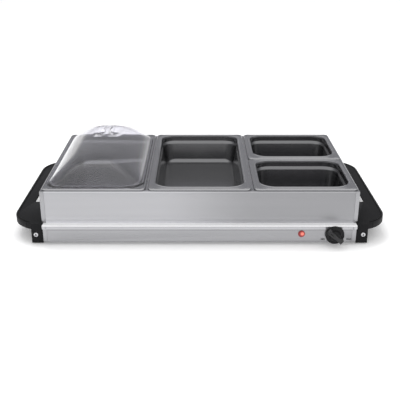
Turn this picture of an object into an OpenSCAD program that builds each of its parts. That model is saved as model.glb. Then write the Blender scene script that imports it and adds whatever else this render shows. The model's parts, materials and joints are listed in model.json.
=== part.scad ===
// Electric buffet server: a heated base with two black end handles, a lift-off tray frame,
// two full pans, two half pans and one clear domed lid.
// Front is -Y, right is +X, up is +Z, and z = 0 is the table under the rubber feet.

/* [Tray frame] */
// Width of the tray frame over its side sheets
frame_w = 540; // [520:2:560]
// Depth of the tray frame, front sheet to rear sheet
frame_d = 331; // [315:1:345]
// Height of the tray frame walls above the ledge
frame_h = 57; // [55:1:70]
// Thickness of the steel sheet in the frame and the base
sheet = 1; // [0.8:0.1:1.2]
// Width of the folded tabs that wrap the front and rear corners
tab_w = 7; // [6:0.5:9]
// Width of the bars between the pans
divider_w = 16; // [14:0.5:18]

/* [Heated base] */
// Depth of the ledge in front of and behind the tray frame
ledge_d = 12; // [10:0.5:14]
// Height of the ledge above the table
ledge_z = 37; // [36.5:0.1:38]
// Height of the underside of the base above the table
skirt_z = 7; // [6.5:0.1:7]
// Height of the lip that folds down over the panels
lip_h = 7; // [6:0.5:8]
// Height of the raised hot plate above the ledge
plate_rise = 1.5; // [1.5:0.1:2]

/* [Pans and lid] */
// Gap between the rims of neighbouring pans
pan_gap = 4; // [3:0.5:5]
// Gap between the pan rims and the outside of the frame, front and rear
rim_gap = 3; // [2.5:0.1:3.5]
// Depth of a pan from the top of its rim
pan_deep = 56; // [50:0.5:56]
// Height of the pan rims above the frame
rim_h = 3.5; // [3.5:0.1:4]
// Width of the flat rim around a pan
rim_w = 11; // [10.5:0.5:12]
// Corner radius of a pan's opening
mouth_r = 28; // [26:1:32]
// Thickness of the pan sheet
pan_t = 1; // [0.8:0.1:1]
// Height of the clear dome above the pan rim
dome_h = 37; // [32:1:50]
// Wall thickness of the clear dome
dome_t = 2; // [1.8:0.1:2.5]

/* [Handles and feet] */
// Reach of each handle beyond the side of the base
handle_reach = 56; // [50:1:60]
// Depth of the handle's outer skirt
handle_t = 11; // [9:0.5:11]
// Thickness of the handle's top sheet
handle_top_t = 3; // [2.5:0.5:4]
// Radius of the handle's outer corners
handle_r = 60; // [50:1:62]
// Length of the finger slot
slot_l = 136; // [110:2:138]
// Width of the leg block under each handle corner
leg_w = 19.5; // [18:0.5:21]
// Height of a rubber foot
foot_h = 2; // [1.5:0.1:2.5]

/* [Controls] */
// Distance of the knob's axis to the right of the centre
knob_x = 230; // [226:1:232]
// Height of the knob's axis
knob_z = 20.5; // [20.3:0.1:20.7]
// Diameter of the knob's skirt
knob_d = 32; // [28:1:33]
// How far the knob stands out from the front panel
knob_out = 17; // [15:0.5:18]
// Angle of the knob's bar at rest, turned back from straight up
knob_rest = 50; // [0:5:90]
// Distance of the pilot lamp to the right of the centre
lamp_x = 173.6; // [165:0.2:178]
// Diameter of the pilot lamp's lens
lamp_d = 12; // [11.5:0.5:13]
// Distance of the cord gland to the right of the centre
gland_x = 228; // [222:1:234]
// Radius of the bore that the supply cord enters by
gland_bore_r = 3.6; // [3:0.1:4]

/* [Hidden] */
$fn = 64;
eps = 0.1;
bin = 1000;

steel = [0.76, 0.76, 0.78];
dark_steel = [0.55, 0.56, 0.58];
black = [0.07, 0.07, 0.08];
brass = [0.8, 0.66, 0.35];
ceramic = [0.92, 0.9, 0.85];

// The base is a little narrower than the frame and a ledge deeper at front and rear.
base_w = frame_w - 3;
base_d = frame_d + 2 * ledge_d;
plate_z = ledge_z + plate_rise;
plate_hx = frame_w / 2 - 8;
plate_hy = frame_d / 2 - 8;
plate_under = plate_z - sheet;
deck_r = 2.6;
deck_edge_r = 2.5;
lip_z = ledge_z - lip_h;
panel_y = base_d / 2 - 1.5;
panel_x = base_w / 2 - 1.5;
panel_top = ledge_z - deck_edge_r;
flange_d = 12;
seam = 0.3;
lap_w = 5;
joggle = 0.1;

// Heights and spacings of the tray frame and the pans that hang in it.
frame_top = ledge_z + frame_h;
seat_w = 8;
foot_w = 6;
divider_h = 14;
pitch = frame_w / 3;
pan_w = pitch - pan_gap;
pan_d = frame_d - 2 * rim_gap;
half_d = (pan_d - pan_gap) / 2;
rim_z = frame_top + rim_h;
pan_floor = rim_z - pan_deep;
rim_corner_r = 9;
bead_r = 2;
mouth_edge_r = 2.5;
shoulder_z = rim_z - 11.5;
shoulder_in = 2.5;
shoulder_drop = 3;
taper_in = 8;
floor_r = 10;

// Lid rings: the dome springs from just inside the pan's mouth.
lid_rim_t = 1.5;
lid_rim_w = 4;
lid_foot = 3;
lid_lip_h = 2.5;
lid_lip_t = 1.5;
lid_points = 72;
lid_rings = 12;
grip_x = 17;
grip_y = 45;
grip_wx = 14;
grip_wy = 32;
grip_deep = 9;

// Heating: four runs of tube joined by half turns under the hot plate.
rod_r = 3.25;
run_y = 35;
run_x = 165;
rod_z = plate_under - 1.5 - rod_r - 0.05;
cold_x = 206;
pin_r = 1.5;
pin_x = 218;
spread_x = 210;
spread_y = 140;
shield_z = 19;
shield_x = 212;
shield_y = 143;
clip_t = 0.9;
wool_top = rod_z - rod_r - clip_t - 0.2;
stud_r = 2;
stud_x = 120;
stud_y = 70;
stud_end = 5;
nut_h = 3.2;
cover_z = skirt_z + sheet;
cover_top = cover_z + sheet;

// Fixings of the handles, feet and bottom cover.
leg_d = 34;
slot_mid = 18.5;
slot_half_w = 15;
slot_r = 5;
bracket_z = [9, 24.5];
leg_y = base_d / 2 - 7;
wall = 3;
screw_x = base_w / 2 + 11.5;
screw_z = 17.6;
screw_r = 2;
foot_r = 7.5;
foot_y = leg_y - 14;
foot_x = base_w / 2 + leg_w / 2;
cover_screw_y = panel_y - 7;
vent_x = 95;
vent_y = 80;
vent_pitch = 14;
cover_screws = [[-200, -1], [0, -1], [200, -1], [-200, 1], [0, 1], [180, 1]];

// Controls, measured from the front panel's face.
face_y = -panel_y;
shaft_r = 3;
skirt_gap = base_d / 2 - panel_y + 0.6;
skirt_t = 4;
bar_w = 9;
lamp_z = 21.5;
gland_z = 20;
gland_r = 6;
gland_hex_h = 6;
gland_cap_r = 7.6;
lead_r = 1.3;
lead_sides = 8;
lead_z = 13.5;
low_z = cover_top + lead_r + 0.3;
high_z = low_z + 2 * lead_r + 0.6;
block_x = 178;
block_y = 152;
block_w = 27;
block_d = 14;
block_h = 14;
fuse_x = 120;
fuse_y = 150;
fuse_l = 26;
fuse_r = 2.5;
fuse_z = plate_under - fuse_r - 0.05;
stack_x = knob_x - 11;
stack_y = face_y + 5;
blade_t = 0.8;
blade_pitch = 4.5;
tag_x = [stack_x - 15, stack_x - 9];
tag_y = [for (i = [0, 1]) stack_y + 3.6 + blade_t + blade_pitch * i + 0.1];

// ---------------------------------------------------------------- shared shapes

// A box from its lowest corner to its highest corner.
module span(low, high) {
    translate(low) cube(high - low);
}

// A flat rectangle with rounded corners, given by half its sides and its corner radius.
module round_rect(hx, hy, r) {
    square([2 * hx, 2 * (hy - r)], center = true);
    square([2 * (hx - r), 2 * hy], center = true);
    for (sx = [-1, 1], sy = [-1, 1])
        translate([sx * (hx - r), sy * (hy - r)]) circle(r);
}

// Sweeps a profile around a rounded rectangle: the profile's x is its distance outwards
// from the corner centres and its y is height.
module sweep_rect(hx, hy, r) {
    cx = hx - r;
    cy = hy - r;
    translate([cx, cy, 0]) rotate_extrude(angle = 90) children();
    translate([-cx, cy, 0]) rotate([0, 0, 90]) rotate_extrude(angle = 90) children();
    translate([-cx, -cy, 0]) rotate([0, 0, 180]) rotate_extrude(angle = 90) children();
    translate([cx, -cy, 0]) rotate([0, 0, 270]) rotate_extrude(angle = 90) children();
    for (turn = [0, 180]) rotate([0, 0, turn]) {
        translate([cx, cy, 0]) rotate([90, 0, 0]) linear_extrude(2 * cy) children();
        translate([-cx, cy, 0]) rotate([90, 0, 90]) linear_extrude(2 * cx) children();
    }
}

// Points of an arc from angle a to angle b.
function arc(x, y, r, a, b, n = 6) =
    [for (i = [0:n]) [x + r * cos(a + (b - a) * i / n), y + r * sin(a + (b - a) * i / n)]];

// A rod along Y, X or Z from a point.
module rod_y(p, r, l) {
    translate(p) rotate([-90, 0, 0]) cylinder(r = r, h = l);
}
module rod_x(p, r, l) {
    translate(p) rotate([0, 90, 0]) cylinder(r = r, h = l);
}
module rod_z(p, r, l) {
    translate(p) cylinder(r = r, h = l);
}

// An insulated lead: one eight-sided tube swept along a list of points, with each ring
// square to the mean of the two directions that meet there, and turned as little as can be
// from the ring before.
function unit(v) = v / norm(v);
function headings(route) =
    [for (i = [0:len(route) - 1])
        let (back = i > 0 ? unit(route[i] - route[i - 1]) : [0, 0, 0],
             on = i < len(route) - 1 ? unit(route[i + 1] - route[i]) : [0, 0, 0])
        unit(back + on)];
function sides(heads, i, last) =
    i == len(heads) ? [] :
    let (side = unit(last - (last * heads[i]) * heads[i]))
    concat([side], sides(heads, i + 1, side));

module lead(route) {
    m = len(route);
    n = lead_sides;
    heads = headings(route);
    side = sides(heads, 0, cross([0.3, 0.1, 1], heads[0]));
    points = [for (i = [0:m - 1], k = [0:n - 1])
        let (a = 360 * k / n, up = cross(heads[i], side[i]))
        route[i] + lead_r * (cos(a) * side[i] + sin(a) * up)];
    walls = [for (i = [0:m - 2], k = [0:n - 1])
        let (a = i * n + k, b = i * n + (k + 1) % n)
        each [[a, a + n, b], [b, a + n, b + n]]];
    start = [for (k = [0:n - 1]) k];
    finish = [for (k = [0:n - 1]) m * n - 1 - k];
    polyhedron(points = points, faces = concat(walls, [start, finish]), convexity = 4);
}

// ---------------------------------------------------------------- sheet-metal walls

// The front sheet of a box: flat, with a lap behind each corner tab, and folded inwards
// along the bottom and, when top_in is set, along the top.
module front_sheet(half_w, y_face, z0, z1, bottom_in, top_in) {
    in_x = half_w - tab_w - seam;
    span([-in_x, y_face, z0], [in_x, y_face + sheet, z1]);
    span([-in_x + lap_w, y_face, z0], [in_x - lap_w, y_face + bottom_in, z0 + sheet]);
    if (top_in > 0)
        span([-in_x + 1, y_face, z1 - sheet], [in_x - 1, y_face + top_in, z1]);
    for (s = [-1, 1]) {
        near = in_x - lap_w;
        far = half_w - sheet - seam;
        span([min(s * near, s * in_x), y_face, z0 + 2],
             [max(s * near, s * in_x), y_face + 2 * sheet + joggle, z1 - 2]);
        span([min(s * near, s * far), y_face + sheet + joggle, z0 + 2],
             [max(s * near, s * far), y_face + 2 * sheet + joggle, z1 - 2]);
    }
}

// The right-hand side sheet of a box, with its two corner tabs.
module side_sheet(half_w, half_d, z0, z1, bottom_in, top_in) {
    clear_y = half_d - 2 * sheet - joggle - 0.3;
    span([half_w - sheet, -half_d, z0], [half_w, half_d, z1]);
    span([half_w - bottom_in, -clear_y, z0], [half_w, clear_y, z0 + sheet]);
    if (top_in > 0)
        span([half_w - top_in, -half_d + sheet + joggle, z1 - sheet],
             [half_w, half_d - sheet - joggle, z1]);
    for (s = [-1, 1])
        span([half_w - tab_w, s > 0 ? half_d - sheet : -half_d, z0],
             [half_w, s > 0 ? half_d : -half_d + sheet, z1]);
}

// ---------------------------------------------------------------- heated base

// Section of the deck's folded lip, its rounded top edge and the start of the ledge.
module lip_section() {
    out = deck_r;
    turn_x = out - deck_edge_r;
    turn_z = ledge_z - deck_edge_r;
    translate([out - sheet, lip_z]) square([sheet, turn_z - lip_z]);
    translate([0, ledge_z - sheet]) square([turn_x, sheet]);
    polygon(concat(arc(turn_x, turn_z, deck_edge_r, 0, 90),
                   arc(turn_x, turn_z, deck_edge_r - sheet, 90, 0)));
}

module deck() {
    color(steel) difference() {
        union() {
            sweep_rect(base_w / 2, base_d / 2, deck_r) lip_section();
            translate([0, 0, ledge_z - sheet]) linear_extrude(sheet)
                square([base_w - 2 * deck_r, base_d - 2 * deck_r], center = true);
            translate([0, 0, ledge_z - sheet]) linear_extrude(plate_rise + sheet)
                round_rect(plate_hx, plate_hy, 10);
        }
        translate([0, 0, ledge_z - sheet - 1]) linear_extrude(plate_rise + 1)
            round_rect(plate_hx - sheet, plate_hy - sheet, 9);
        for (sx = [-1, 1], sy = [-1, 1])
            translate([sx * (base_w / 2 - tab_w - 0.5), sy * base_d / 2, lip_z])
                cube([0.5, 1, 2 * (lip_h - deck_edge_r)], center = true);
    }
}

module panel_front_sheet() {
    front_sheet(panel_x, face_y, skirt_z, panel_top, flange_d, 0);
}

// Screw holes along the flange that carries the bottom cover.
module cover_holes(side, z, h, r) {
    for (p = cover_screws) if (p[1] == side)
        translate([p[0], side * cover_screw_y, z]) cylinder(r = r, h = h);
}

module front_panel() {
    color(steel) difference() {
        panel_front_sheet();
        rod_y([knob_x, face_y - 1, knob_z], 5, 3);
        rod_y([lamp_x, face_y - 1, lamp_z], lamp_d / 2 - 0.4, 3);
        cover_holes(-1, skirt_z - 1, 3, screw_r + 0.1);
    }
}

module rear_panel() {
    color(steel) difference() {
        mirror([0, 1, 0]) panel_front_sheet();
        rod_y([gland_x, panel_y - 2, gland_z], gland_r + 0.1, 3);
        cover_holes(1, skirt_z - 1, 3, screw_r + 0.1);
    }
}

module right_side_panel() {
    color(steel) side_sheet(panel_x, panel_y, skirt_z, panel_top, flange_d, 0);
}

module left_side_panel() {
    mirror([1, 0, 0]) right_side_panel();
}

module bottom_cover() {
    half_x = panel_x - 2;
    half_y = panel_y - 2 * sheet - 0.5;
    color(dark_steel) difference() {
        span([-half_x, -half_y, cover_z], [half_x, half_y, cover_top]);
        for (sx = [-1, 1], sy = [-1, 1], i = [0:5])
            translate([sx * (vent_x + vent_pitch * i), sy * vent_y, cover_z - 1])
                linear_extrude(3) round_rect(2, 18, 1.9);
        for (side = [-1, 1]) cover_holes(side, cover_z - 1, 3, screw_r + 0.1);
    }
}

module bottom_screws() {
    color(steel) for (p = cover_screws) translate([p[0], p[1] * cover_screw_y, 0]) {
        difference() {
            translate([0, 0, skirt_z - 2.2]) cylinder(r = 3.6, h = 2.2);
            translate([-2.2, -0.4, skirt_z - 2.3]) cube([4.4, 0.8, 1.1]);
            translate([-0.4, -2.2, skirt_z - 2.3]) cube([0.8, 4.4, 1.1]);
        }
        translate([0, 0, skirt_z - eps]) cylinder(r = screw_r, h = 5 + eps);
    }
}

// ---------------------------------------------------------------- handles and feet

// The hollow under the handle's top sheet, open below, between the leg blocks.
module handle_hollow() {
    x1 = base_w / 2 + handle_reach;
    cx = x1 - handle_r;
    cy = leg_y + 1.5 - handle_r;
    half_y = leg_y - leg_d - wall;
    translate([0, 0, ledge_z - handle_t - 1]) linear_extrude(handle_t + 1 - handle_top_t)
        intersection() {
            union() {
                for (s = [-1, 1]) translate([cx, s * cy]) circle(handle_r - wall);
                translate([base_w / 2, -cy]) square([handle_reach - wall, 2 * cy]);
                translate([base_w / 2, -half_y]) square([cx - base_w / 2, 2 * half_y]);
            }
            translate([base_w / 2 + wall, -half_y]) square([100, 2 * half_y]);
        }
}

// Outline of the flat handle plate: straight outer edge with large round corners.
module handle_outline() {
    x0 = base_w / 2;
    x1 = x0 + handle_reach;
    cx = x1 - handle_r;
    cy = leg_y + 1.5 - handle_r;
    difference() {
        intersection() {
            union() {
                for (s = [-1, 1]) translate([cx, s * cy]) circle(handle_r);
                translate([cx, -cy]) square([handle_r, 2 * cy]);
                translate([x0, -leg_y]) square([leg_w, 2 * leg_y]);
                translate([x0, -cy - 50]) square([handle_r / 2, 2 * cy + 100]);
            }
            translate([x0, -leg_y]) square([100, 2 * leg_y]);
        }
        translate([x0 + slot_mid, 0]) round_rect(slot_half_w, slot_l / 2, slot_r);
    }
}

module right_handle() {
    x0 = base_w / 2;
    x1 = x0 + leg_w;
    color(black) difference() {
        union() {
            translate([0, 0, ledge_z - handle_t]) linear_extrude(handle_t) handle_outline();
            for (s = [-1, 1])
                translate([x0, s > 0 ? leg_y - leg_d : -leg_y, foot_h])
                    cube([leg_w, leg_d, ledge_z - foot_h - eps]);
            span([x0, -leg_y + leg_d - 1, 11], [x0 + 3, leg_y - leg_d + 1, ledge_z - 1]);
        }
        handle_hollow();
        for (s = [-1, 1]) {
            inner = leg_y - wall;
            back = leg_y - leg_d + wall;
            span([x0 - 1, s > 0 ? back : -inner, foot_h + wall],
                 [x1 - wall, s > 0 ? inner : -back, ledge_z - handle_t]);
            rod_y([screw_x, s > 0 ? leg_y - wall - 1 : -leg_y - 1, screw_z],
                  screw_r + 0.1, wall + 2);
            rod_z([foot_x, s * foot_y, foot_h - 1], 2.6, wall + 2);
        }
    }
}

module left_handle() {
    mirror([1, 0, 0]) right_handle();
}

module copies_at_corners() {
    for (sx = [0, 1], sy = [0, 1])
        mirror([sx, 0, 0]) mirror([0, sy, 0]) children();
}

// Steel angles that tie each leg block to the side of the base.
module handle_brackets() {
    y0 = -leg_y + wall;
    color(dark_steel) copies_at_corners() difference() {
        union() {
            span([panel_x, y0 + eps, bracket_z[0]], [panel_x + 1.5, y0 + 22, bracket_z[1]]);
            span([panel_x, y0 + eps, bracket_z[0]], [panel_x + 17, y0 + 1.6, bracket_z[1]]);
        }
        rod_y([screw_x, y0 - 1, screw_z], screw_r + 0.05, 4);
    }
}

// Pan-head screws with a cross recess, on the front and rear of the leg blocks.
module handle_screws() {
    color([0.85, 0.85, 0.87]) copies_at_corners() translate([screw_x, -leg_y, screw_z]) {
        difference() {
            union() {
                rotate([90, 0, 0]) cylinder(r = 4, h = 1.4);
                translate([0, -1.4, 0]) rotate([90, 0, 0]) cylinder(r1 = 4, r2 = 2.6, h = 0.8);
            }
            translate([0, -2.2, 0]) cube([3.6, 2, 0.9], center = true);
            translate([0, -2.2, 0]) cube([0.9, 2, 3.6], center = true);
        }
        rotate([-90, 0, 0]) cylinder(r = screw_r, h = 12);
    }
}

module rubber_feet() {
    color([0.12, 0.12, 0.12]) copies_at_corners() translate([foot_x, -foot_y, 0]) {
        cylinder(r = foot_r, h = foot_h);
        cylinder(r = 2.5, h = foot_h + wall + 0.5);
        translate([0, 0, foot_h + wall + 0.1]) cylinder(r1 = 3.4, r2 = 2, h = 2);
    }
}

// ---------------------------------------------------------------- heating

module stud_spots() {
    for (x = [-stud_x, 0, stud_x], y = [-stud_y, stud_y]) translate([x, y, 0]) children();
}

module heat_spreader() {
    color([0.8, 0.8, 0.82]) difference() {
        span([-spread_x, -spread_y, plate_under - 1.5], [spread_x, spread_y, plate_under]);
        stud_spots() cylinder(r = stud_r + 0.5, h = bin);
    }
}

module half_turn(x, y, side) {
    translate([x, y, rod_z]) rotate([0, 0, -90 * side])
        rotate_extrude(angle = 180) translate([run_y, 0]) circle(rod_r);
}

module heating_element() {
    color(dark_steel) {
        for (s = [-1, 1]) {
            rod_x([-run_x, s * 3 * run_y, rod_z], rod_r, run_x + cold_x);
            rod_x([-run_x, s * run_y, rod_z], rod_r, 2 * run_x);
            half_turn(-run_x, s * 2 * run_y, -1);
            rod_x([cold_x - 1, s * 3 * run_y, rod_z], pin_r, pin_x - cold_x + 1);
        }
        half_turn(run_x, 0, 1);
    }
}

module element_clips() {
    foot = plate_under - 1.5;
    color(steel) for (x = [-130, 0, 130], y = [-3, -1, 1, 3]) translate([x, y * run_y, 0]) {
        difference() {
            union() {
                rod_x([-6, 0, rod_z], rod_r + clip_t, 12);
                span([-6, -rod_r - clip_t, rod_z], [6, rod_r + clip_t, foot]);
                span([-6, -11, foot - clip_t], [6, 11, foot]);
            }
            rod_x([-7, 0, rod_z], rod_r + 0.1, 14);
            span([-7, -rod_r - 0.1, rod_z], [7, rod_r + 0.1, foot + 1]);
        }
    }
}

module insulation_pad() {
    color([0.86, 0.82, 0.66]) difference() {
        span([-spread_x, -spread_y, shield_z + sheet], [spread_x, spread_y, wool_top]);
        stud_spots() cylinder(r = stud_r + 0.5, h = bin);
    }
}

module heat_shield() {
    color([0.78, 0.79, 0.8]) difference() {
        span([-shield_x, -shield_y, shield_z], [shield_x, shield_y, wool_top]);
        span([-shield_x + sheet, -shield_y + sheet, shield_z + sheet],
             [shield_x - sheet, shield_y - sheet, bin]);
        stud_spots() cylinder(r = stud_r + 0.2, h = bin);
    }
}

module shield_studs() {
    color(dark_steel) stud_spots() translate([0, 0, shield_z - stud_end])
        cylinder(r = stud_r, h = plate_under - shield_z + stud_end);
}

module shield_nuts() {
    color(steel) stud_spots() translate([0, 0, shield_z - nut_h]) difference() {
        cylinder(r = 2 * stud_r, h = nut_h, $fn = 6);
        translate([0, 0, -1]) cylinder(r = stud_r + 0.05, h = 6);
    }
}

// ---------------------------------------------------------------- wiring

module terminal_block() {
    color([0.9, 0.9, 0.86]) difference() {
        span([block_x - block_w / 2, block_y, cover_top],
             [block_x + block_w / 2, block_y + block_d, cover_top + block_h]);
        for (i = [-1:1]) {
            rod_y([block_x + 8.5 * i, block_y - 1, lead_z + 3], 2, block_d + 2);
            rod_z([block_x + 8.5 * i, block_y + block_d / 2, lead_z + 3], 2.2, 20);
        }
    }
}

module terminal_screws() {
    color(brass) for (i = [-1:1])
        translate([block_x + 8.5 * i, block_y + block_d / 2, lead_z + 5.2]) difference() {
            cylinder(r = 2.1, h = 3.8);
            translate([0, 0, 3.8]) cube([5, 0.7, 1.6], center = true);
        }
}

module thermal_fuse() {
    color([0.85, 0.86, 0.9]) {
        rod_x([fuse_x, fuse_y, fuse_z], fuse_r, fuse_l);
        rod_x([fuse_x - 4, fuse_y, fuse_z], 0.7, fuse_l + 8);
    }
}

module fuse_clamp() {
    color(steel) translate([fuse_x + fuse_l / 2, fuse_y, 0]) difference() {
        union() {
            rod_x([-4, 0, fuse_z], fuse_r + clip_t, 8);
            span([-4, -fuse_r - clip_t, fuse_z], [4, fuse_r + clip_t, plate_under]);
            span([-4, -6.2, plate_under - clip_t], [4, 6.2, plate_under]);
        }
        rod_x([-5, 0, fuse_z], fuse_r + 0.1, 10);
        span([-5, -fuse_r - 0.1, fuse_z], [5, fuse_r + 0.1, bin]);
    }
}

module live_lead() {
    y0 = block_y - 0.1;
    color([0.45, 0.25, 0.12]) lead([[block_x - 8.5, y0, lead_z + 3],
        [block_x - 8.5, y0 - 4, lead_z + 3], [fuse_x + 40, fuse_y - 1, 27],
        [fuse_x + fuse_l + 9, fuse_y, fuse_z], [fuse_x + fuse_l + 4.1, fuse_y, fuse_z]]);
}

module fuse_lead() {
    x0 = fuse_x - 9;
    color([0.85, 0.85, 0.82]) lead([[fuse_x - 4.1, fuse_y, fuse_z], [x0, fuse_y, fuse_z],
        [x0, fuse_y + 1, 18], [x0, fuse_y - 5, high_z], [x0, 130, high_z],
        [fuse_x + 30, 90, high_z], [200, 40, high_z], [200, -130, high_z],
        [tag_x[0], -150, 17], [tag_x[0], tag_y[0] + 6, knob_z],
        [tag_x[0], tag_y[0], knob_z]]);
}

module element_lead() {
    y0 = -3 * run_y;
    color([0.85, 0.85, 0.82]) lead([[pin_x + 0.1, y0, rod_z], [pin_x + 9, y0, rod_z],
        [pin_x + 12, y0 - 14, rod_z - 2], [pin_x + 8, -shield_y - 4, knob_z + 6],
        [tag_x[1], tag_y[1] + 5, knob_z + 2.2], [tag_x[1], tag_y[1], knob_z + 2.2]]);
}

module neutral_lead() {
    y0 = block_y - 0.1;
    y1 = shield_y + 2.8;
    color([0.2, 0.35, 0.7]) lead([[block_x, y0, lead_z + 3], [block_x, y0 - 4, lead_z + 3],
        [block_x + 8, y1, lead_z + 3], [pin_x, y1, knob_z], [pin_x + 9, y1 - 12, 27],
        [pin_x + 10, 3 * run_y + 3, rod_z - 0.7], [pin_x + 0.6, 3 * run_y, rod_z]]);
}

module lamp_leads() {
    y0 = face_y + 17;
    color([0.75, 0.75, 0.72]) {
        lead([[lamp_x + 1.8, y0, lamp_z], [lamp_x + 3, y0 + 8, lamp_z],
            [lamp_x + 15, y0 + 12, lamp_z + 3], [tag_x[1] - 8, tag_y[1] + 12, lamp_z + 5],
            [tag_x[1], tag_y[1] + 5, knob_z - 2.2], [tag_x[1], tag_y[1], knob_z - 2.2]]);
        lead([[lamp_x - 1.8, y0, lamp_z], [lamp_x - 3, y0 + 9, lamp_z - 6],
            [lamp_x - 3, -60, low_z], [lamp_x - 3, 100, low_z],
            [block_x - 3, block_y - 22, low_z], [block_x - 2.5, block_y - 2, 12.5]]);
    }
}

module earth_lead() {
    y0 = block_y - 0.1;
    color([0.45, 0.6, 0.15]) lead([[block_x + 8.5, y0, lead_z + 3],
        [block_x + 8.5, y0 - 3, lead_z + 3], [block_x + 22, y0 - 1, 14],
        [block_x + 30, y0 - 1, 12.6], [block_x + 33.7, y0 - 1, 12.6]]);
}

module earth_stud() {
    color(brass) translate([block_x + 38.4, block_y - 1.1, cover_top]) {
        cylinder(r = 2, h = 9);
        cylinder(r = 4.5, h = 2.2, $fn = 6);
        translate([0, 0, 2.6]) cylinder(r = 4.6, h = 2);
    }
}

// Cord gland: a threaded body through the rear panel, a hexagon and a domed cap.
module cord_gland() {
    y0 = panel_y;
    cap_l = knob_out - gland_hex_h;
    color(black) difference() {
        union() {
            rod_y([gland_x, y0 - 9, gland_z], gland_r, 10);
            translate([gland_x, y0, gland_z]) rotate([-90, 0, 0])
                cylinder(r = 9, h = gland_hex_h, $fn = 6);
            translate([gland_x, y0 + gland_hex_h - eps, gland_z]) rotate([-90, 0, 0])
                rotate_extrude() polygon(concat([[0, 0], [gland_cap_r, 0]],
                    arc(gland_cap_r - 3, cap_l - 3 + eps, 3, 0, 90), [[0, cap_l + eps]]));
        }
        rod_y([gland_x, y0 - 20, gland_z], gland_bore_r, 60);
    }
}

module gland_nut() {
    color(black) difference() {
        translate([gland_x, panel_y - sheet - 4, gland_z]) rotate([-90, 0, 0])
            cylinder(r = 8.6, h = 4, $fn = 6);
        rod_y([gland_x, panel_y - 10, gland_z], gland_r + 0.05, 12);
    }
}

// ---------------------------------------------------------------- controls

module pilot_lens() {
    lens_r = lamp_d / 2;
    color([0.75, 0.1, 0.08]) translate([lamp_x, face_y, lamp_z]) difference() {
        union() {
            rotate([90, 0, 0]) rotate_extrude()
                polygon(concat([[0, 0], [lens_r, 0], [lens_r, 1.2]],
                    [for (a = [0:15:90]) [(lens_r - 0.6) * cos(a), 1.2 + 2.2 * sin(a)]]));
            rotate([-90, 0, 0]) cylinder(r = lens_r - 0.5, h = 14);
        }
        rotate([-90, 0, 0]) cylinder(r = lens_r - 1.6, h = 20);
    }
}

module pilot_retainer() {
    lens_r = lamp_d / 2;
    color(steel) translate([lamp_x, face_y + sheet, lamp_z]) rotate([-90, 0, 0])
        difference() {
            cylinder(r = lens_r + 2.5, h = 1);
            translate([0, 0, -1]) cylinder(r = lens_r - 0.45, h = 3);
        }
}

module neon_bulb() {
    color([1, 0.55, 0.25]) translate([lamp_x, face_y + 2, lamp_z]) rotate([-90, 0, 0]) {
        translate([0, 0, 1.5]) cylinder(r = 3, h = 11);
        translate([0, 0, 1.5]) sphere(3);
        for (s = [-1, 1]) translate([1.8 * s, 0, 12]) cylinder(r = 0.4, h = 2.9);
    }
}

module thermostat_bracket() {
    y0 = face_y + sheet;
    color(steel) difference() {
        union() {
            span([stack_x - 8, y0, knob_z - 9], [knob_x + 14, y0 + 1, knob_z + 9]);
            span([knob_x + 13, y0, knob_z - 9], [knob_x + 14, y0 + 18, knob_z + 9]);
        }
        rod_y([knob_x, y0 - 1, knob_z], 5, 4);
    }
}

module thermostat_bushing() {
    y0 = face_y + sheet + 1;
    color(brass) difference() {
        union() {
            rod_y([knob_x, face_y - 3, knob_z], 4.9, 3 + sheet + 1 + eps);
            rod_y([knob_x, y0, knob_z], 5.4, 2);
        }
        rod_y([knob_x, face_y - 5, knob_z], shaft_r + 0.05, 20);
    }
}

module thermostat_nut() {
    color(brass) difference() {
        translate([knob_x, face_y - 2.3, knob_z]) rotate([-90, 0, 0])
            cylinder(r = 7, h = 2.3, $fn = 6);
        rod_y([knob_x, face_y - 5, knob_z], 4.95, 8);
    }
}

// Ceramic rings riveted in a stack, with the contact blades clamped between them.
module thermostat_stack() {
    color(ceramic) for (i = [0:2])
        rod_y([stack_x, stack_y + blade_pitch * i, knob_z], 5, 3.5);
    color(ceramic) rod_y([stack_x, face_y + 2 * sheet + 0.05, knob_z], 1.4, 15.9);
}

module contact_blades() {
    color(brass) for (i = [0:1]) difference() {
        span([tag_x[i] - 3, tag_y[i] - 0.1 - blade_t, knob_z - 4],
             [knob_x + 9 - 4 * i, tag_y[i] - 0.1, knob_z + 4]);
        rod_y([stack_x, stack_y, knob_z], 1.45, 20);
    }
}

module knob() {
    y0 = face_y - skirt_gap;
    grip_h = knob_out - skirt_gap - skirt_t;
    color(black) difference() {
        translate([knob_x, y0, knob_z]) rotate([90, 0, 0]) rotate([0, 0, knob_rest]) {
            rotate_extrude() polygon(concat([[0, 0], [knob_d / 2, 0]],
                arc(knob_d / 2 - 1.6, skirt_t - 1.2, 1.2, 0, 90), [[0, skirt_t]]));
            intersection() {
                cylinder(r1 = knob_d / 2 - 1, r2 = knob_d / 2 - 2, h = skirt_t + grip_h);
                translate([0, 0, (skirt_t + grip_h) / 2])
                    cube([bar_w, knob_d, skirt_t + grip_h], center = true);
            }
            translate([0, 0, skirt_t - eps])
                cylinder(r1 = bar_w + 0.5, r2 = bar_w - 2.5, h = grip_h - 2.5);
        }
        rod_y([knob_x, y0 - 3, knob_z], 8.5, 6);
        rod_y([knob_x, y0 - 12, knob_z], shaft_r, 20);
        translate([knob_x, y0, knob_z]) rotate([90, 0, 0]) rotate([0, 0, knob_rest])
            translate([0, knob_d / 2 - 6.5, knob_out - skirt_gap])
                cube([1.2, 9, 1], center = true);
    }
}

module thermostat_shaft() {
    y0 = face_y - skirt_gap - 12;
    color(dark_steel) rod_y([knob_x, y0, knob_z], shaft_r, stack_y + 3.2 - y0);
}

// ---------------------------------------------------------------- tray frame

module frame_front() {
    color(steel) front_sheet(frame_w / 2, -frame_d / 2, ledge_z, frame_top, foot_w, seat_w);
}

module frame_rear() {
    mirror([0, 1, 0]) frame_front();
}

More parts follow.
